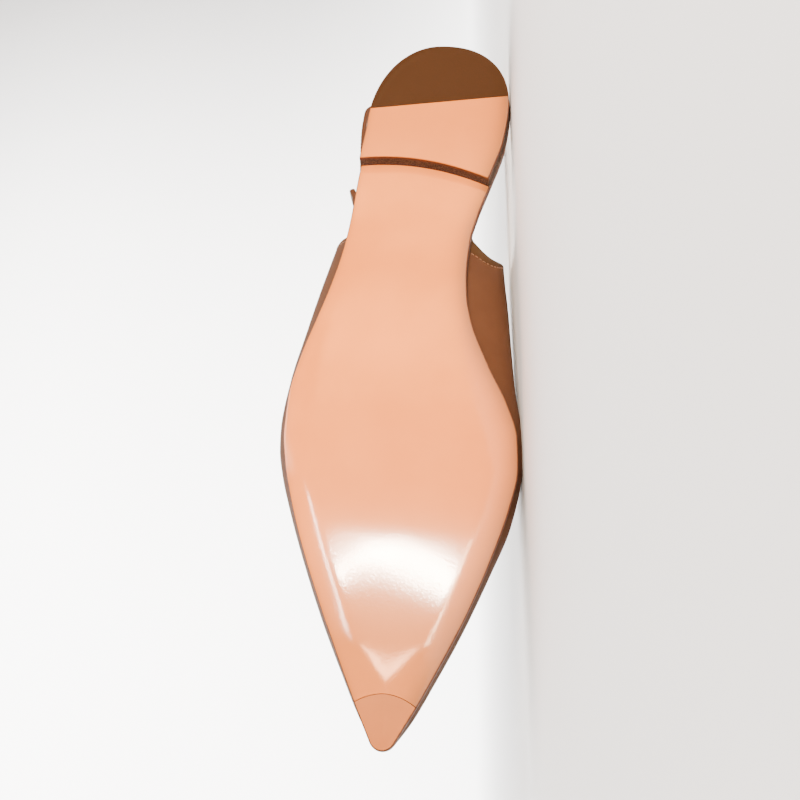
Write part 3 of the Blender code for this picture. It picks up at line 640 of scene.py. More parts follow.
def polished_metal(own):
    """Cast zinc, polished and gilded: bright, with the faintest unevenness from polishing."""
    look = Surface("gilded_metal", 0.2, Metallic=1, Base_Color=(*own.metal_tone, 1))
    return look.bump(look.noise(1.5), 0.02).material


def spun_thread(own):
    """Waxed polyester thread: matt, lighter than the leather."""
    return Surface("waxed_thread", 0.6).mottle(own.thread_tone, own.upper_tone, 0.6).material


def painted_backdrop(own):
    """Matt painted board, pale and even."""
    look = Surface("painted_board", 0.9, Specular_IOR_Level=0.1)
    return look.mottle(own.floor_tone, own.floor_shade, 300).material


# ---- settings


def tone(name, description, default):
    """A colour setting whose default is given as an sRGB hex code."""
    words = {"name": name, "description": description}
    return bpy.props.FloatVectorProperty(**words, default=linear(default), subtype="COLOR", min=0, max=1)


def size(name, description, default):
    """A length setting whose default is given in millimetres."""
    words = {"name": name, "description": description}
    return bpy.props.FloatProperty(**words, default=default * MM, min=0, unit="LENGTH", precision=5)


class SlingbackSole(bpy.types.PropertyGroup):
    """Sizes and colours of sole, toe insert and heel."""

    sole_tone: tone("Sole", "Lacquered sole leather, light clouds", "CF7631")
    sole_shade: tone("Sole shade", "Lacquered sole leather, dark clouds", "CA722D")
    # Painted shade: the sole's colour where it is darkened along its edge, most on the medial side, and over
    # the toe and heel.
    painted_shade_tone: tone("Painted_shade", "Sole leather where it has darkened at its edge", "7F4D24")
    insert_tone: tone("Toe insert", "Toe insert", "A05D2D")
    edge_tone: tone("Edge", "Painted side of sole and heel", "5C3B28")
    breast_tone: tone("Heel breast", "Front face of the heel", "3C2E27")
    rubber_tone: tone("Heel rubber", "Rubber of the heel's tread", "361E0B")
    edge_round: size("Edge rounding", "Radius of the sole's edges", 0.45)
    paint_reach: size("Paint reach", "How far the side's paint runs onto the underside", 0.45)


class SlingbackUpper(bpy.types.PropertyGroup):
    """Sizes and colours of upper, straps and insole."""

    upper_tone: tone("Upper", "Calf leather, light clouds", "4D301D")
    upper_shade: tone("Upper shade", "Calf leather, dark clouds", "492D1B")
    lining_tone: tone("Lining", "Lining leather", "D8B595")
    sock_tone: tone("Sock", "Sock leather over the insole", "DDBB9B")
    thread_tone: tone("Thread", "Stitching thread", "9A6A48")
    strap_edge_tone: tone("Strap edge", "Painted edge of the straps", "4A2E1E")
    # Painted shade: the darker tone behind the stitches of the medial wing stands for the shade of the fold
    # there.
    painted_wedge_shade_tone: tone("Wedge", "Darker leather behind the stitches of the medial wing", "3F2912")
    stitch_inset: size("Stitch inset", "Distance of the stitches from the edge", 1.6)
    wedge_reach: size("Wedge reach", "How much further in they run on the medial wing, at the sole", 5.2)
    stitch_pitch: size("Stitch pitch", "Distance from stitch to stitch", 2)


class SlingbackBuckle(bpy.types.PropertyGroup):
    """Colour of the buckle."""

    metal_tone: tone("Metal", "Gilded metal", "D8B478")


class SlingbackStage(bpy.types.PropertyGroup):
    """Floor and lights."""

    floor_tone: tone("Floor", "Painted board, light clouds", "DDDCDB")
    floor_shade: tone("Floor shade", "Painted board, dark clouds", "DBDAD9")
    sky: bpy.props.FloatProperty(name="Sky", description="Strength of the surrounding light", default=0.2)


# ---- sole


def sole_grids(x, share, rounding, joint_distance):
    """Bottom and top points of a sole piece, and their distance from its edge. The underside is lifted over
    the band inside the outline by the ramp (r + sqrt(r^2 + softness^2)) / 2, where r is how far a point
    lies past the band's inner line, and all edges are rounded."""
    bottom_y, top_y = across(x, share, TREAD_RISE), across(x, share)
    distance = edge_distance(x, bottom_y)
    width = read(BAND, "width", x)
    ramp = width - distance
    softness = 2.1 + 1.3 * smooth_step((x - 240) / 8) + 4 * smooth_step((192 - x) / 30)
    lift = BAND_LIFT / width * 0.5 * (ramp + np.sqrt(ramp**2 + softness**2))
    lift = lift * smooth_step((x - 66) / 20) * (0.4 + 0.6 * smooth_step((x - 120) / 50))
    drop = rounding_drop(np.minimum(distance, joint_distance * 5), rounding)
    z = underside(x)
    return points_of(x, bottom_y, z + lift + drop), points_of(x, top_y, z + SOLE_THICKNESS - drop), distance


def painted_shade(x, y, distance, heel=0):
    """Share of painted shade on the sole, 0 to 1: full at its edge, in a band that is broad on the medial
    side, and a little over all of the toe and by heel over the heel."""
    width = 2.7 - 1.5 * np.tanh(y / 5)
    edge = np.exp(-((distance / width) ** 1.3)) * (1 - 0.6 * smooth_step(y / 10))
    return 1 - (1 - edge) * (1 - 0.4 * smooth_step((x - 208) / 36)) * (1 - heel)


# Places of the points over a rounded edge, in its radius.
EDGE_STEPS = np.array((0, 0.02, 0.08, 0.18, 0.34, 0.55, 0.8, 1.1))


def edge_shares(count, half_width, rounding):
    """Shares across the sole, close together where the edges are rounded."""
    fine = rounding / half_width * EDGE_STEPS
    inner = np.sin(np.linspace(-QUARTER_TURN, QUARTER_TURN, count))
    inner = inner[np.abs(inner) < 1 - fine[-1] * 1.5]
    return np.r_[-1 + fine, inner, (1 - fine)[::-1]]


def band_shares(x, rounding):
    """Shares across the outsole at each of its stations, close together at the rounded edge and where the
    band meets the flat."""
    x = x[:, None]
    half = np.maximum(0.5 * (sole_edge(x, LATERAL, TREAD_RISE) - sole_edge(x, MEDIAL, TREAD_RISE)), 0.01)
    taper = np.hypot(1, (half - np.roll(half, 1, 0)) / np.maximum(x - np.roll(x, 1, 0), 0.05))
    line = np.minimum(read(BAND, "width", x) * np.minimum(taper, 1.2), 0.75 * half)
    spread = np.minimum(2.2, 0.25 * line)
    edge = rounding * EDGE_STEPS * np.minimum(1, 0.1 * half / rounding)
    outer = edge[:, -1:] + (line - spread - edge[:, -1:]) * np.linspace(0, 1, 8)[1:]
    middle = line + spread * np.linspace(-1, 1, 19)[1:]
    inner = (line + spread) + (half - line - spread) * np.linspace(0, 1, 18)[1:]
    side = np.concatenate((edge, outer, middle, inner), 1) / half
    return np.concatenate((side[:, :-1] - 1, (1 - side)[:, ::-1]), 1)


class SLINGBACK_OT_sole(bpy.types.Operator):
    """Makes the outsole, its toe insert and the three slices of the heel"""

    bl_idname = "slingback.sole"
    bl_label = "Sole"

    def execute(self, context):
        own = context.scene.slingback_sole
        tones = own.insert_tone, linear("99582A")
        insert = plain_leather("toe_insert_rubber", *tones, 0.5, 0.5, 0.01, Specular_IOR_Level=0.15)
        suede = speckled("heel_breast_leather", linear("66503F"), own.breast_tone, 0.85, 0.45, 0.08)
        rubber = speckled("heel_rubber", own.rubber_tone, linear("311D0A"), 0.62, 0.4, 0.02)
        lacquer = lacquered_sole_leather(own)
        paint = speckled("edge_paint", own.edge_tone, linear("503324"), 0.55, 1.2, 0.01)
        board = speckled("leather_board", linear("B98F6E"), linear("AD8462"), 0.8, 0.8, 0.02)
        rounding, reach = own.edge_round / MM, own.paint_reach / MM

        def add_slab(name, node, slot, material, bottom, top, distance, shade=None):
            """A slab with its side painted and its hidden top bare, or all of suede."""
            materials = (suede,) * 3 if material is suede else (material, paint, board)
            slab_piece(name, bottom, top, distance < reach, materials, node, slot, shade)

        x = np.r_[closing(0, 60, 60), np.arange(61, 254.8, 0.9), 255.3, 255.5, 255.6]
        share = band_shares(x, rounding)
        x = np.repeat(x[:, None], share.shape[1], 1)
        x = x + (on_joint(toe_joint, share) - x.max()) * smooth_step((x - 235) / (x.max() - 235))
        grids = sole_grids(x, share, rounding, on_joint(toe_joint, share) - x)
        # Painted shade: the sole darkens along its edge, most on the medial side, and towards the toe.
        shade = painted_shade(x, grids[0][..., 1], grids[2])
        add_slab("outsole_leather", "outsole", "sole_leather", lacquer, *grids, shade)

        t = closing(1, 0, 40)[::-1]
        t = np.r_[0, 0.004, 0.012, 0.022, t[1:]]
        t, share = np.meshgrid(t, edge_shares(72, 30, rounding), indexing="ij")
        start = on_joint(toe_joint, share) + 0.05
        x = start + (SOLE_LENGTH - start) * t
        grids = sole_grids(x, share, rounding, x - start)
        add_slab("toe_piece", "toe_insert", "toe_insert", insert, *grids)

        lift, tread = (TREAD_THICKNESS + 0.12, HEEL_RISE - 0.05), (0, TREAD_THICKNESS)
        grids = heel_grids(None, breast, lift, rounding, BREAST_SLANT)
        add_slab("heel_block", "heel_lift", "heel_brown", suede, *grids)
        grids = heel_grids(tread_joint, breast, tread, rounding, BREAST_SLANT)
        add_slab("heel_front_tread", "heel_tread_leather", "sole_leather", lacquer, *grids)
        grids = heel_grids(None, tread_joint, tread, rounding, 0)
        add_slab("heel_rear_tread", "heel_tread_rubber", "heel_rubber", rubber, *grids)
        return {"FINISHED"}


def heel_grids(start, end, heights, rounding, slant):
    """Bottom and top points of a slice of the heel between two lines across it (None is the round back) and
    two heights, with the bottom's distance from its edge and its share of painted shade."""
    t = np.linspace(0, 1, 90) if start else closing(0, 1, 90)
    t = np.unique(np.r_[t, 0.002, 0.006, 0.994, 0.998])
    t, share = np.meshgrid(t, edge_shares(60, 27, rounding), indexing="ij")
    grids, distances = [], []
    for z in heights:
        rise = TREAD_RISE * z / HEEL_RISE
        first = on_joint(start, share, rise) + 0.05 if start else np.zeros(t.shape)
        last = on_joint(end, share, rise) - slant * (1 - z / HEEL_RISE)
        x = first + (last - first) * t
        y = across(x, share, rise)
        distances.append(edge_distance(x, y, rise))
        near = np.minimum(distances[-1], (last - x) * 8)
        if start:
            near = np.minimum(near, (x - first) * 8)
        drop = rounding_drop(near, rounding) if z == 0 else 0
        grids.append(points_of(x, y, z + drop))
    bottom, distance = grids[0], distances[0]
    return bottom, grids[1], distance, painted_shade(bottom[..., 0], bottom[..., 1], distance, 0.2)


# ---- upper


def vertex_normals(points, quads):
    """Unit normals at points: the sum of the normals of the faces round each."""
    a, b, c, d = (points[quads[:, k]] for k in range(4))
    face = np.cross(c - a, d - b)
    total = np.zeros(points.shape)
    for k in range(4):
        np.add.at(total, quads[:, k], face)
    return normed(total)


def upper_sheet():
    """Outside of the upper as one sheet: points, quads, the point numbers round its rim (lateral wing,
    topline, medial wing, sole), and how many of them lie on the open edge."""
    rear = WING_X + np.r_[np.linspace(0, 7, 15), np.arange(8.2, 77, 1.2)]
    near_throat = THROAT_X - (np.arange(13, 0, -1) * 0.3) ** 2
    front = THROAT_X + (NOSE_TIP - THROAT_X) * np.sin(QUARTER_TURN * np.linspace(0, 1, 66))
    x = np.r_[rear[rear < near_throat[0] - 0.5], near_throat, front]
    throat_row = int(np.argmax(x >= THROAT_X - 1e-9))
    low = LOWER_SHARE * np.linspace(0, 1, 15)
    high = LOWER_SHARE + (1 - LOWER_SHARE) * (1 - (1 - np.linspace(0, 1, 43)[1:]) ** 1.25)
    x, share = np.meshgrid(x, np.r_[low, high], indexing="ij")
    medial = upper_points(x, share, MEDIAL)[:, ::-1]
    points = np.concatenate((upper_points(x, share, LATERAL), medial), 1)
    rows, columns, _ = points.shape
    index = np.arange(rows * columns).reshape(rows, columns)
    half, top = columns // 2, throat_row + 1
    index[throat_row:, half] = index[throat_row:, half - 1]
    index[-1, half:] = index[-1, :half][::-1]
    quads = np.r_[grid_quads(index[:, :half]), grid_quads(index[:, half:])]
    topline = np.r_[index[1:top, half - 1], index[throat_row - 1 :: -1, half]]
    open_rim = np.r_[index[0, :half], topline, index[0, half + 1 :]]
    rim = np.r_[open_rim, index[1:-1, -1], index[-1, :1], index[1:-1, 0][::-1]]
    return points.reshape(-1, 3), quads, rim, len(open_rim)


def rim_outward(points, normals, rim):
    """Unit vectors out of the sheet at its rim."""
    line = points[rim]
    out = normed(np.cross(normals[rim], normed(np.roll(line, -1, 0) - np.roll(line, 1, 0))))
    return -out if ((line - points.mean(0)) * out).sum() < 0 else out


def medial_wing(line):
    """For each point of the open rim, -1, but on the medial wing's rear edge it rises to 0 at the side's
    fullest point and to 1 at the sole."""
    full = upper_points(np.array([WING_X]), np.array([LOWER_SHARE]), MEDIAL)[0]
    share = (full[2] - line[:, 2]) / (full[2] - line[-1, 2])
    return np.where(np.arange(len(line)) > 0.75 * len(line), np.clip(share, -1, 1), -1)


def nearest_points(points, line):
    """For each point its distance from the nearest point of a line, and that one's number."""
    found = []
    for i in range(0, len(points), 400):
        gap = np.linalg.norm(points[i : i + 400, None] - line[None], axis=2)
        found.append((gap.min(1), gap.argmin(1)))
    distance, nearest = zip(*found)
    return np.concatenate(distance), np.concatenate(nearest)


def fold_relief(distance, inset):
    """Height of the folded edge: a soft pad from the edge to the stitches and a narrow trough under them."""
    pad = 0.12 * np.sin(pi * unit(distance / inset)) ** 0.8
    return pad - 0.14 * np.exp(-(((distance - inset) / 0.45) ** 2))


class SLINGBACK_OT_upper(bpy.types.Operator):
    """Makes the upper: one folded, lined wall with a row of stitches along its open edge"""

    bl_idname = "slingback.upper"
    bl_label = "Upper"

    def execute(self, context):
        own = context.scene.slingback_upper
        edge = speckled("cut_edge_paint", linear("33211A"), linear("2C1C15"), 0.5, 0.8, 0.01)
        materials = (calf_leather(own), lining_leather("lining_leather", own), edge)
        points, quads, rim, open_count = upper_sheet()
        normals = vertex_normals(points, quads)
        if (normals[:, 2] * (points[:, 2] - 15)).sum() < 0:
            quads, normals = quads[:, ::-1], -normals
        open_line = points[rim[:open_count]]
        wing = medial_wing(open_line)
        inset = own.stitch_inset / MM * (1 - 0.45 * smooth_step((wing + 0.5) / 0.5))
        inset = inset + own.wedge_reach / MM * unit(wing) ** 1.6
        distance, nearest = nearest_points(points, open_line)
        outer = points + normals * fold_relief(distance, inset[nearest])[:, None]
        out = rim_outward(points, normals, rim)
        radius = 0.5 * WALL
        middle = points[rim] - normals[rim] * radius
        rings = [middle + radius * (cos(a) * normals[rim] + 0.8 * sin(a) * out)
                 for a in np.radians(np.linspace(0, 180, 9)[1:-1])]
        count, length = len(points), len(rim)
        band = [rim, *(2 * count + k * length + np.arange(length) for k in range(len(rings))), rim + count]
        band = np.stack(band)
        rim_quads = grid_quads(np.concatenate((band, band[:, :1]), 1))
        everything = np.concatenate((outer, points - normals * WALL, *rings))
        # The wedge_mm number sets where the painted shade falls behind the stitches of the medial wing.
        wedge = np.full(len(everything), -1.0)
        wedge[:count] = np.where(wing[nearest] > 0, inset[nearest] - distance, -1)
        slots = np.repeat((0, 1, 2), (len(quads), len(quads), len(rim_quads)))
        quads = np.r_[quads, quads[:, ::-1] + count, rim_quads]
        layer = ("wedge_mm", wedge)
        new_piece("upper_calf", everything, quads, materials, slots, "upper", layer)
        line = stitch_line(outer, normals, open_line, out[:open_count], inset)
        stitches("upper_stitches", [line], own.stitch_pitch / MM, spun_thread(own))
        return {"FINISHED"}


def stitch_line(points, normals, edge, out, inset):
    """Line on a surface that runs an inset inside its edge: (points, normals) along it."""
    wanted = edge - out * inset[:, None]
    nearest = nearest_points(wanted, points)[1]
    up = normals[nearest]
    drop = ((wanted - points[nearest]) * up).sum(1)
    return wanted - up * drop[:, None], up


def stitches(name, lines, pitch, thread):
    """Rows of stitches: a small flattened ellipsoid of thread every pitch along each line, its ends sunk in
    the leather."""
    length, width, height = 0.66 * pitch, 0.5, 0.36
    turn = np.radians(np.arange(8) * 45)
    arch = np.radians(np.linspace(-90, 90, 7))[:, None]
    ring = 0.5 * np.cos(arch)
    proud = 0.04 + height * ring * np.sin(turn)
    bead = (0.5 * length * np.sin(arch) + 0 * turn, width * ring * np.cos(turn), proud)
    rows = []
    for line, up in lines:
        run = arc_lengths(line)
        s = np.arange(pitch, run[-1] - 0.5 * pitch, pitch)
        columns = [(line, -0.3 * pitch), (line, 0), (line, 0.3 * pitch), (up, 0)]
        rows.append([np.stack([np.interp(s + shift, run, of[:, k]) for k in range(3)], 1)
                     for of, shift in columns])
    rear, centres, front, ups = (np.concatenate(part)[:, None, None] for part in zip(*rows))
    alongs, ups = normed(front - rear), normed(ups)
    ways = (alongs, np.cross(ups, alongs), ups)
    points = centres + sum(part[..., None] * way for part, way in zip(bead, ways))
    rings, corners = bead[0].shape
    index = np.arange(rings * corners).reshape(rings, corners)
    index[0], index[-1] = index[0, 0], index[-1, 0]
    quads = grid_quads(np.concatenate((index, index[:, :1]), 1))
    quads = (quads[None] + (np.arange(len(centres)) * rings * corners)[:, None, None]).reshape(-1, 4)
    return new_piece(name, points, quads, (thread,), np.zeros(len(quads)), None)


class SLINGBACK_OT_insole(bpy.types.Operator):
    """Makes the insole with its leather sock, softly domed over a thin foam"""

    bl_idname = "slingback.insole"
    bl_label = "Insole"

    def execute(self, context):
        own = context.scene.slingback_upper
        sock = plain_leather("sock_leather", own.sock_tone, linear("D5B190"), 0.55, 0.8, 0.02)
        edge = speckled("insole_board", linear("B08A68"), linear("A27C5B"), 0.8, 0.6, 0.02)
        rear, tip = INSOLE_ENDS
        x = np.r_[closing(rear, 40, 40), np.arange(41, 246, 1.2), closing(tip, 247, 24)[::-1]]
        x, share = np.meshgrid(x, edge_shares(50, 28, INSOLE_ROUND), indexing="ij")
        inset = 0.5 + 2.6 * smooth_step((x - 78) / 8)
        round_toe = np.sqrt(unit((tip - x) / 14))
        y, lateral, medial = (across(x, way * round_toe, 1, inset) for way in (share, 1, -1))
        near = np.minimum(np.minimum(lateral - y, y - medial), np.minimum(x - rear, tip - x))
        z = underside(x) + SOLE_THICKNESS + 0.05
        top = z + 0.25 + INSOLE_THICKNESS - rounding_drop(near, INSOLE_ROUND)
        grids, unpainted = (points_of(x, y, z), points_of(x, y, top)), near < -1
        slab_piece("insole_sock", *grids, unpainted, (edge, edge, sock), "insole", "insole_leather")
        return {"FINISHED"}


# ---- straps and buckle


def strap_path(behind, side, thickness, count):
    """Centre, upward and outward vectors along a strap, and the length left to its end. Inside the wing
    the strap lies a gap off the wall, and behind it the line runs through its points."""
    half, z = 0.5 * STRAP_WIDTH, WING_BAND_Z[side]
    depth = WALL + WING_GAP + 0.5 * thickness
    anchored = []
    for x in WING_STATIONS:
        low, high = (wing_inside(x, z + up, side, depth) for up in (-half, half))
        anchored.append((x, 0.5 * (low + high), z, side * (low - high)))
    rows = np.array([*anchored, *behind], float)
    run = arc_lengths(rows[:, :3])
    s = np.linspace(0, run[-1], count)
    centre = np.stack([spline(run, rows[:, k], s) for k in range(3)], 1)
    along = normed(np.gradient(centre, s, axis=0))
    out = normed(np.cross(along, (0, 0, 1)) * side)
    up = normed(np.array((0, 0, STRAP_WIDTH)) - out * spline(run, rows[:, 3], s)[:, None])
    return centre, up, np.cross(along, up) * side, run[-1] - s


def strap_rings(path, width, deep):
    """Rings of a strap along its path, a flat band with half-round edges, and the material of each face
    round a ring: outside (0), edge (1) or lining (2)."""
    centre, up, out, _ = path
    radius = 0.5 * deep[:, None]
    core = 0.5 * width[:, None] - radius
    turn = np.radians(np.linspace(-90, 90, 9))
    flat = np.linspace(-1, 1, 11)[1:-1]
    corners = [(core + radius * cos(a), radius * sin(a), 1) for a in turn[::-1]]
    corners += [(core * -f, -radius, 2) for f in flat]
    corners += [(-core - radius * cos(a), radius * sin(a), 1) for a in turn]
    corners += [(core * f, radius, 0) for f in flat]
    return np.stack([centre + up * a + out * b for a, b, _ in corners], 1), [slot for _, _, slot in corners]


def strap_stitches(path, width, deep, end):
    """Two lines of stitches along the outside of a strap, an inset from its edges, up to near its end."""
    centre, up, out, left = path
    inset, start = 1.5, 2
    keep = (left[0] - left > start) & (left > end)
    aside = up * (0.5 * width[:, None] - inset)
    lines = [centre + way * aside + out * 0.5 * deep[:, None] for way in (1, -1)]
    return [(line[keep], out[keep]) for line in lines]


def wire(path, radius, sides, closed=False):
    """Rings of a round wire along a plane path of points; the ends are domed."""
    path = np.asarray(path, float)
    along = normed(np.roll(path, -1, 0) - np.roll(path, 1, 0) if closed else np.gradient(path, axis=0))
    flat = np.linalg.svd(path - path.mean(0))[2][2]
    side = np.cross(along, flat)
    turn = np.arange(sides) * 2 * pi / sides
    ring = np.cos(turn)[None, :, None] * side[:, None, :] + np.sin(turn)[None, :, None] * flat
    rings = path[:, None, :] + radius * ring
    if closed:
        return rings
    caps = []
    for end, way in ((0, -1), (-1, 1)):
        dome = [path[end] + radius * (cos(a) * ring[end] + way * sin(a) * along[end])
                for a in np.radians((20, 45, 70, 85))]
        caps.append(np.stack(dome[::way]))
    return np.r_[caps[0], rings, caps[1]]


def rounded_path(points, radius, steps):
    """A path through points whose corners are rounded by quadratic arcs of about that radius."""
    points = [np.asarray(p, float) for p in points]
    path = [points[0]]
    for before, corner, after in zip(points, points[1:], points[2:]):
        start = corner + (before - corner) * min(0.5, radius / np.linalg.norm(before - corner))
        end = corner + (after - corner) * min(0.5, radius / np.linalg.norm(after - corner))
        for t in np.linspace(0, 1, steps):
            path.append((1 - t) ** 2 * start + 2 * t * (1 - t) * corner + t * t * end)
    path.append(points[-1])
    return np.array(path)


def tool(name, rings):
    """A cutting tool from rings: it has no part in the finished shoe."""
    return rings_piece(name, rings, (), [0] * rings.shape[1], None)


class SLINGBACK_OT_straps(bpy.types.Operator):
    """Makes the sling strap and the quarter strap, edge painted, lined and stitched"""

    bl_idname = "slingback.straps"
    bl_label = "Straps"

    def execute(self, context):
        own = context.scene.slingback_upper
        edge = speckled("strap_edge_paint", own.strap_edge_tone, linear("432919"), 0.45, 0.8, 0.01)
        materials = (calf_leather(own), edge, lining_leather("strap_lining", own))

        sling = strap_path(SLING, MEDIAL, SLING_THICKNESS, 420)
        left = sling[3]
        near = unit((left - 0.5 * EYE_THICKNESS) / (1.2 * EYE_THICKNESS))
        deep = SLING_THICKNESS + (EYE_THICKNESS - SLING_THICKNESS) * (1 - smooth_step(near))
        deep = deep * np.sqrt(1 - 0.9 * unit(1 - left / (0.5 * EYE_THICKNESS)) ** 2)
        narrow = smooth_step((left - EYE_THICKNESS) / EYE_THICKNESS)
        width = EYE_WIDTH + (STRAP_WIDTH - EYE_WIDTH) * narrow
        rings, slots = strap_rings(sling, width, deep)
        piece = rings_piece("sling_band", rings, materials, slots, "sling_strap")
        (x, y), z = REAR_BAR, BUCKLE_Z
        side, reach = PRONG_RADIUS + 0.4, 0.5 * STRAP_WIDTH + 3
        bore = wire([(x, y, z + shift) for shift in (-reach, 0, reach)], WIRE_RADIUS + 0.2, 20)
        corners = ((-4, -side), (-4, side), (4, side), (4, -side))
        notch = np.array([[(x + shift, y + b, z + c) for b, c in corners] for shift in (-2.8, 4)])
        cut(piece, [tool("eye_bore", bore), tool("eye_notch", notch)])

        quarter = strap_path(QUARTER, LATERAL, QUARTER_THICKNESS, 200)
        centre, up, out, left = quarter
        hidden = 3.2 * unit(1 - (left[0] - left) / 9)
        centre = centre - up * 0.5 * hidden[:, None]
        quarter = (centre, up, out, left)
        end_round = np.sqrt(1 - unit(1 - left / 4.5) ** 2)
        width_q = STRAP_WIDTH * (0.16 + 0.84 * end_round) - hidden
        deep_q = QUARTER_THICKNESS + 0.9 * smooth_step((7 - left) / 4)
        deep_q = deep_q * np.sqrt(1 - 0.85 * unit(1 - left / 1.2) ** 2)
        rings, slots = strap_rings(quarter, width_q, deep_q)
        piece = rings_piece("quarter_band", rings, materials, slots, "quarter_strap")
        start, end = (np.array((*p, z)) for p in PRONG_CROSSING)
        tools = [tool("prong_hole", wire([start, 0.5 * (start + end), end], PRONG_RADIUS + 0.25, 20))]
        for hole_x in PINHOLES_X:
            i = int(np.abs(centre[:, 0] - hole_x).argmin())
            hole = wire([centre[i] + out[i] * shift for shift in (-2, 0, 2)], PRONG_RADIUS + 0.2, 20)
            tools.append(tool("pinhole", hole))
        cut(piece, tools)

        lines = strap_stitches(sling, width, deep, 2.2 * EYE_THICKNESS)
        lines += strap_stitches(quarter, width_q, deep_q, 4.5)
        stitches("strap_stitches", lines, own.stitch_pitch / MM, spun_thread(own))
        return {"FINISHED"}


class SLINGBACK_OT_buckle(bpy.types.Operator):
    """Makes the wire buckle and its prong"""

    bl_idname = "slingback.buckle"
    bl_label = "Buckle"

    def execute(self, context):
        metal = polished_metal(context.scene.slingback_buckle)
        rear, front = np.array(REAR_BAR), np.array(FRONT_BAR)
        length = np.linalg.norm(front - rear)
        turn = np.ravel(np.radians(np.linspace(0, 90, 9)) + np.arange(4)[:, None] * QUARTER_TURN)
        a, b = np.repeat((1, -1, -1, 1), 9), np.repeat((1, 1, -1, -1), 9)
        along = a * (0.5 * length - FRAME_CORNER) + FRAME_CORNER * np.cos(turn)
        z = BUCKLE_Z + (b * (0.5 * FRAME_HEIGHT - FRAME_CORNER) + FRAME_CORNER * np.sin(turn))
        plan = 0.5 * (rear + front) + along[:, None] * (front - rear) / length
        rings = wire(np.column_stack((plan, z)), WIRE_RADIUS, 20, closed=True)
        rings_piece("buckle_wire", rings, (metal,), [0] * 20, "buckle_frame", closed=True)

        hook = WIRE_RADIUS + GAP + PRONG_RADIUS
        turns = np.radians(np.linspace(250, 80, 18))
        path = [(REAR_BAR[0] + hook * cos(a), REAR_BAR[1] - hook * sin(a), BUCKLE_Z) for a in turns]
        path += [(*p, BUCKLE_Z) for p in PRONG_CROSSING]
        rest = FRONT_BAR[1] + hook
        path += [(FRONT_BAR[0], rest, BUCKLE_Z), (FRONT_BAR[0] + 1.6, rest, BUCKLE_Z)]
        path = np.r_[path[:-5], rounded_path(path[-5:], 1.6, 6)]
        rings = wire(path, PRONG_RADIUS, 16)
        rings_piece("buckle_pin", rings, (metal,), [0] * 16, "buckle_prong")
        return {"FINISHED"}


# ---- stage


def facing(place, target, up):
    """Matrix that stands at a place and looks at a target, its upper side towards up."""
    place, back = Vector(place), (Vector(place) - Vector(target)).normalized()
    up = (Vector(up) - back * back.dot(Vector(up))).normalized()
    turn = Matrix((up.cross(back), up, back)).transposed().to_4x4()
    return Matrix.Translation(place) @ turn


def area_light(name, place, target, extent, energy, up=(0, 0, 1), colour=(1, 1, 1)):
    """A softbox: a rectangle of light at a place, facing a target."""
    data = bpy.data.lights.new(name, "AREA")
    data.shape = "RECTANGLE"
    data.size, data.size_y = extent
    data.energy = energy
    data.color = colour
    add_object(name, data).matrix_world = facing(place, target, up)


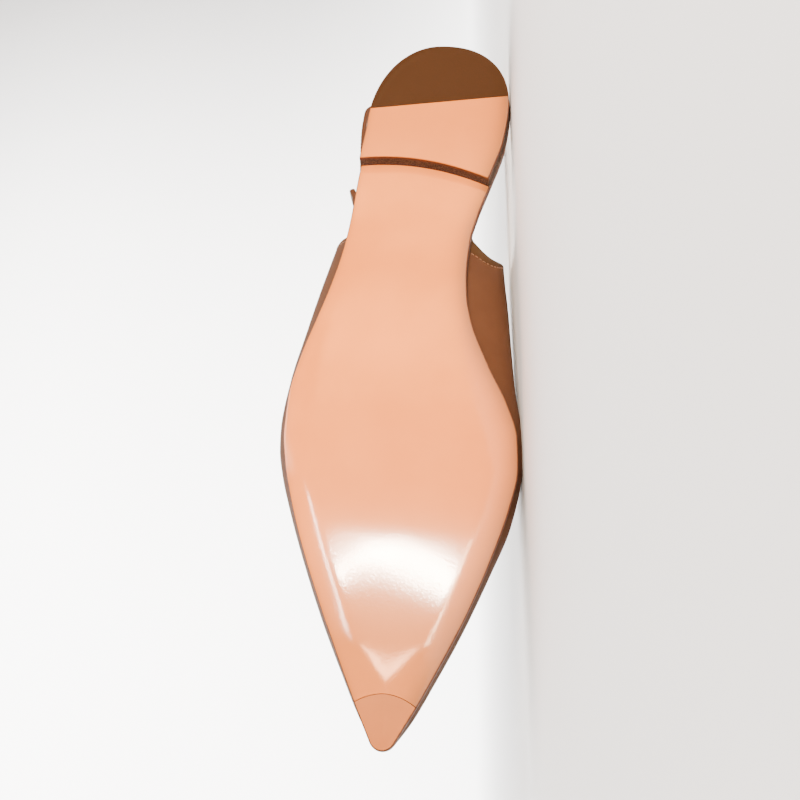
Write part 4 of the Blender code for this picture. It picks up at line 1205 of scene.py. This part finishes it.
class SLINGBACK_OT_stage(bpy.types.Operator):
    """Makes the floor that sweeps up behind the shoe, the softboxes and the camera"""

    bl_idname = "slingback.stage"
    bl_label = "Stage"

    def execute(self, context):
        own = context.scene.slingback_stage
        bend, start, reach, top = 0.6, 0.7, 8, 3.5
        sweep = np.radians(np.linspace(0, 90, 25))
        line = [(-reach, 0), (0, 0)]
        line += [(start + bend * sin(a), bend * (1 - cos(a))) for a in sweep]
        line = np.array(line + [(start + bend, top)])
        points = np.stack([np.column_stack((np.full(len(line), side), line)) for side in (-reach, reach)])
        mesh = bpy.data.meshes.new("backdrop")
        index = np.arange(2 * len(line)).reshape(2, -1)
        mesh.from_pydata(points.reshape(-1, 3), [], grid_quads(index)[:, ::-1].tolist())
        mesh.shade_smooth()
        mesh.materials.append(painted_backdrop(own))
        add_object("backdrop", mesh)

        world = bpy.data.worlds.new("studio")
        context.scene.world = world
        world.use_nodes = True
        background = world.node_tree.nodes["Background"]
        background.inputs["Color"].default_value = (1, 1, 1, 1)
        background.inputs["Strength"].default_value = own.sky

        for name, (x, z), extent, lean, energy, colour in FRONT_LIGHTS:
            up = (sin(radians(lean)), 0, cos(radians(lean)))
            area_light(name, (x, -1, z), (x, 0, z), extent, energy, up, colour)
        area_light("key_softbox", (0.5, -0.75, 0.85), (0.02, 0, 0.03), (0.5, 0.5), 9)
        area_light("top_softbox", (-0.05, 0.45, 1.25), (0, 0, 0), (1, 1), 38, (0, 1, 0))
        area_light("backdrop_softbox", (0, 0.5, 0.9), (0, 1.4, 0.45), (2.4, 0.6), 150)

        data = bpy.data.cameras.new("camera")
        data.lens = CAMERA_LENS
        data.sensor_width = 36
        data.clip_start = 0.01
        camera = add_object("camera", data)
        place, target = SHOE @ Vector(CAMERA_PLACE), SHOE @ Vector(CAMERA_TARGET)
        camera.matrix_world = facing(place, target, SHOE.to_3x3() @ Vector(CAMERA_UP))
        context.scene.camera = camera
        return {"FINISHED"}


class SLINGBACK_PT_panel(bpy.types.Panel):
    """Buttons for the pieces of the shoe, in the order they are made"""

    bl_label = "Slingback Flat"
    bl_space_type = "VIEW_3D"
    bl_region_type = "UI"
    bl_category = "Slingback"

    def draw(self, context):
        for name in GROUPS:
            group = getattr(context.scene, name)
            for key in group.__annotations__:
                self.layout.prop(group, key)
        for operator in OPERATORS:
            self.layout.operator(operator.bl_idname)


GROUPS = {
    "slingback_sole": SlingbackSole,
    "slingback_upper": SlingbackUpper,
    "slingback_buckle": SlingbackBuckle,
    "slingback_stage": SlingbackStage,
}
OPERATORS = (
    SLINGBACK_OT_sole,
    SLINGBACK_OT_upper,
    SLINGBACK_OT_insole,
    SLINGBACK_OT_straps,
    SLINGBACK_OT_buckle,
    SLINGBACK_OT_stage,
)


def register():
    for group in GROUPS.values():
        bpy.utils.register_class(group)
    for name, group in GROUPS.items():
        setattr(bpy.types.Scene, name, bpy.props.PointerProperty(type=group))
    for cls in (*OPERATORS, SLINGBACK_PT_panel):
        bpy.utils.register_class(cls)


def unregister():
    for cls in (SLINGBACK_PT_panel, *reversed(OPERATORS)):
        bpy.utils.unregister_class(cls)
    for name, group in GROUPS.items():
        delattr(bpy.types.Scene, name)
        bpy.utils.unregister_class(group)


def main():
    register()
    for operator in OPERATORS:
        group, name = operator.bl_idname.split(".")
        getattr(getattr(bpy.ops, group), name)()


if __name__ == "__main__":
    main()
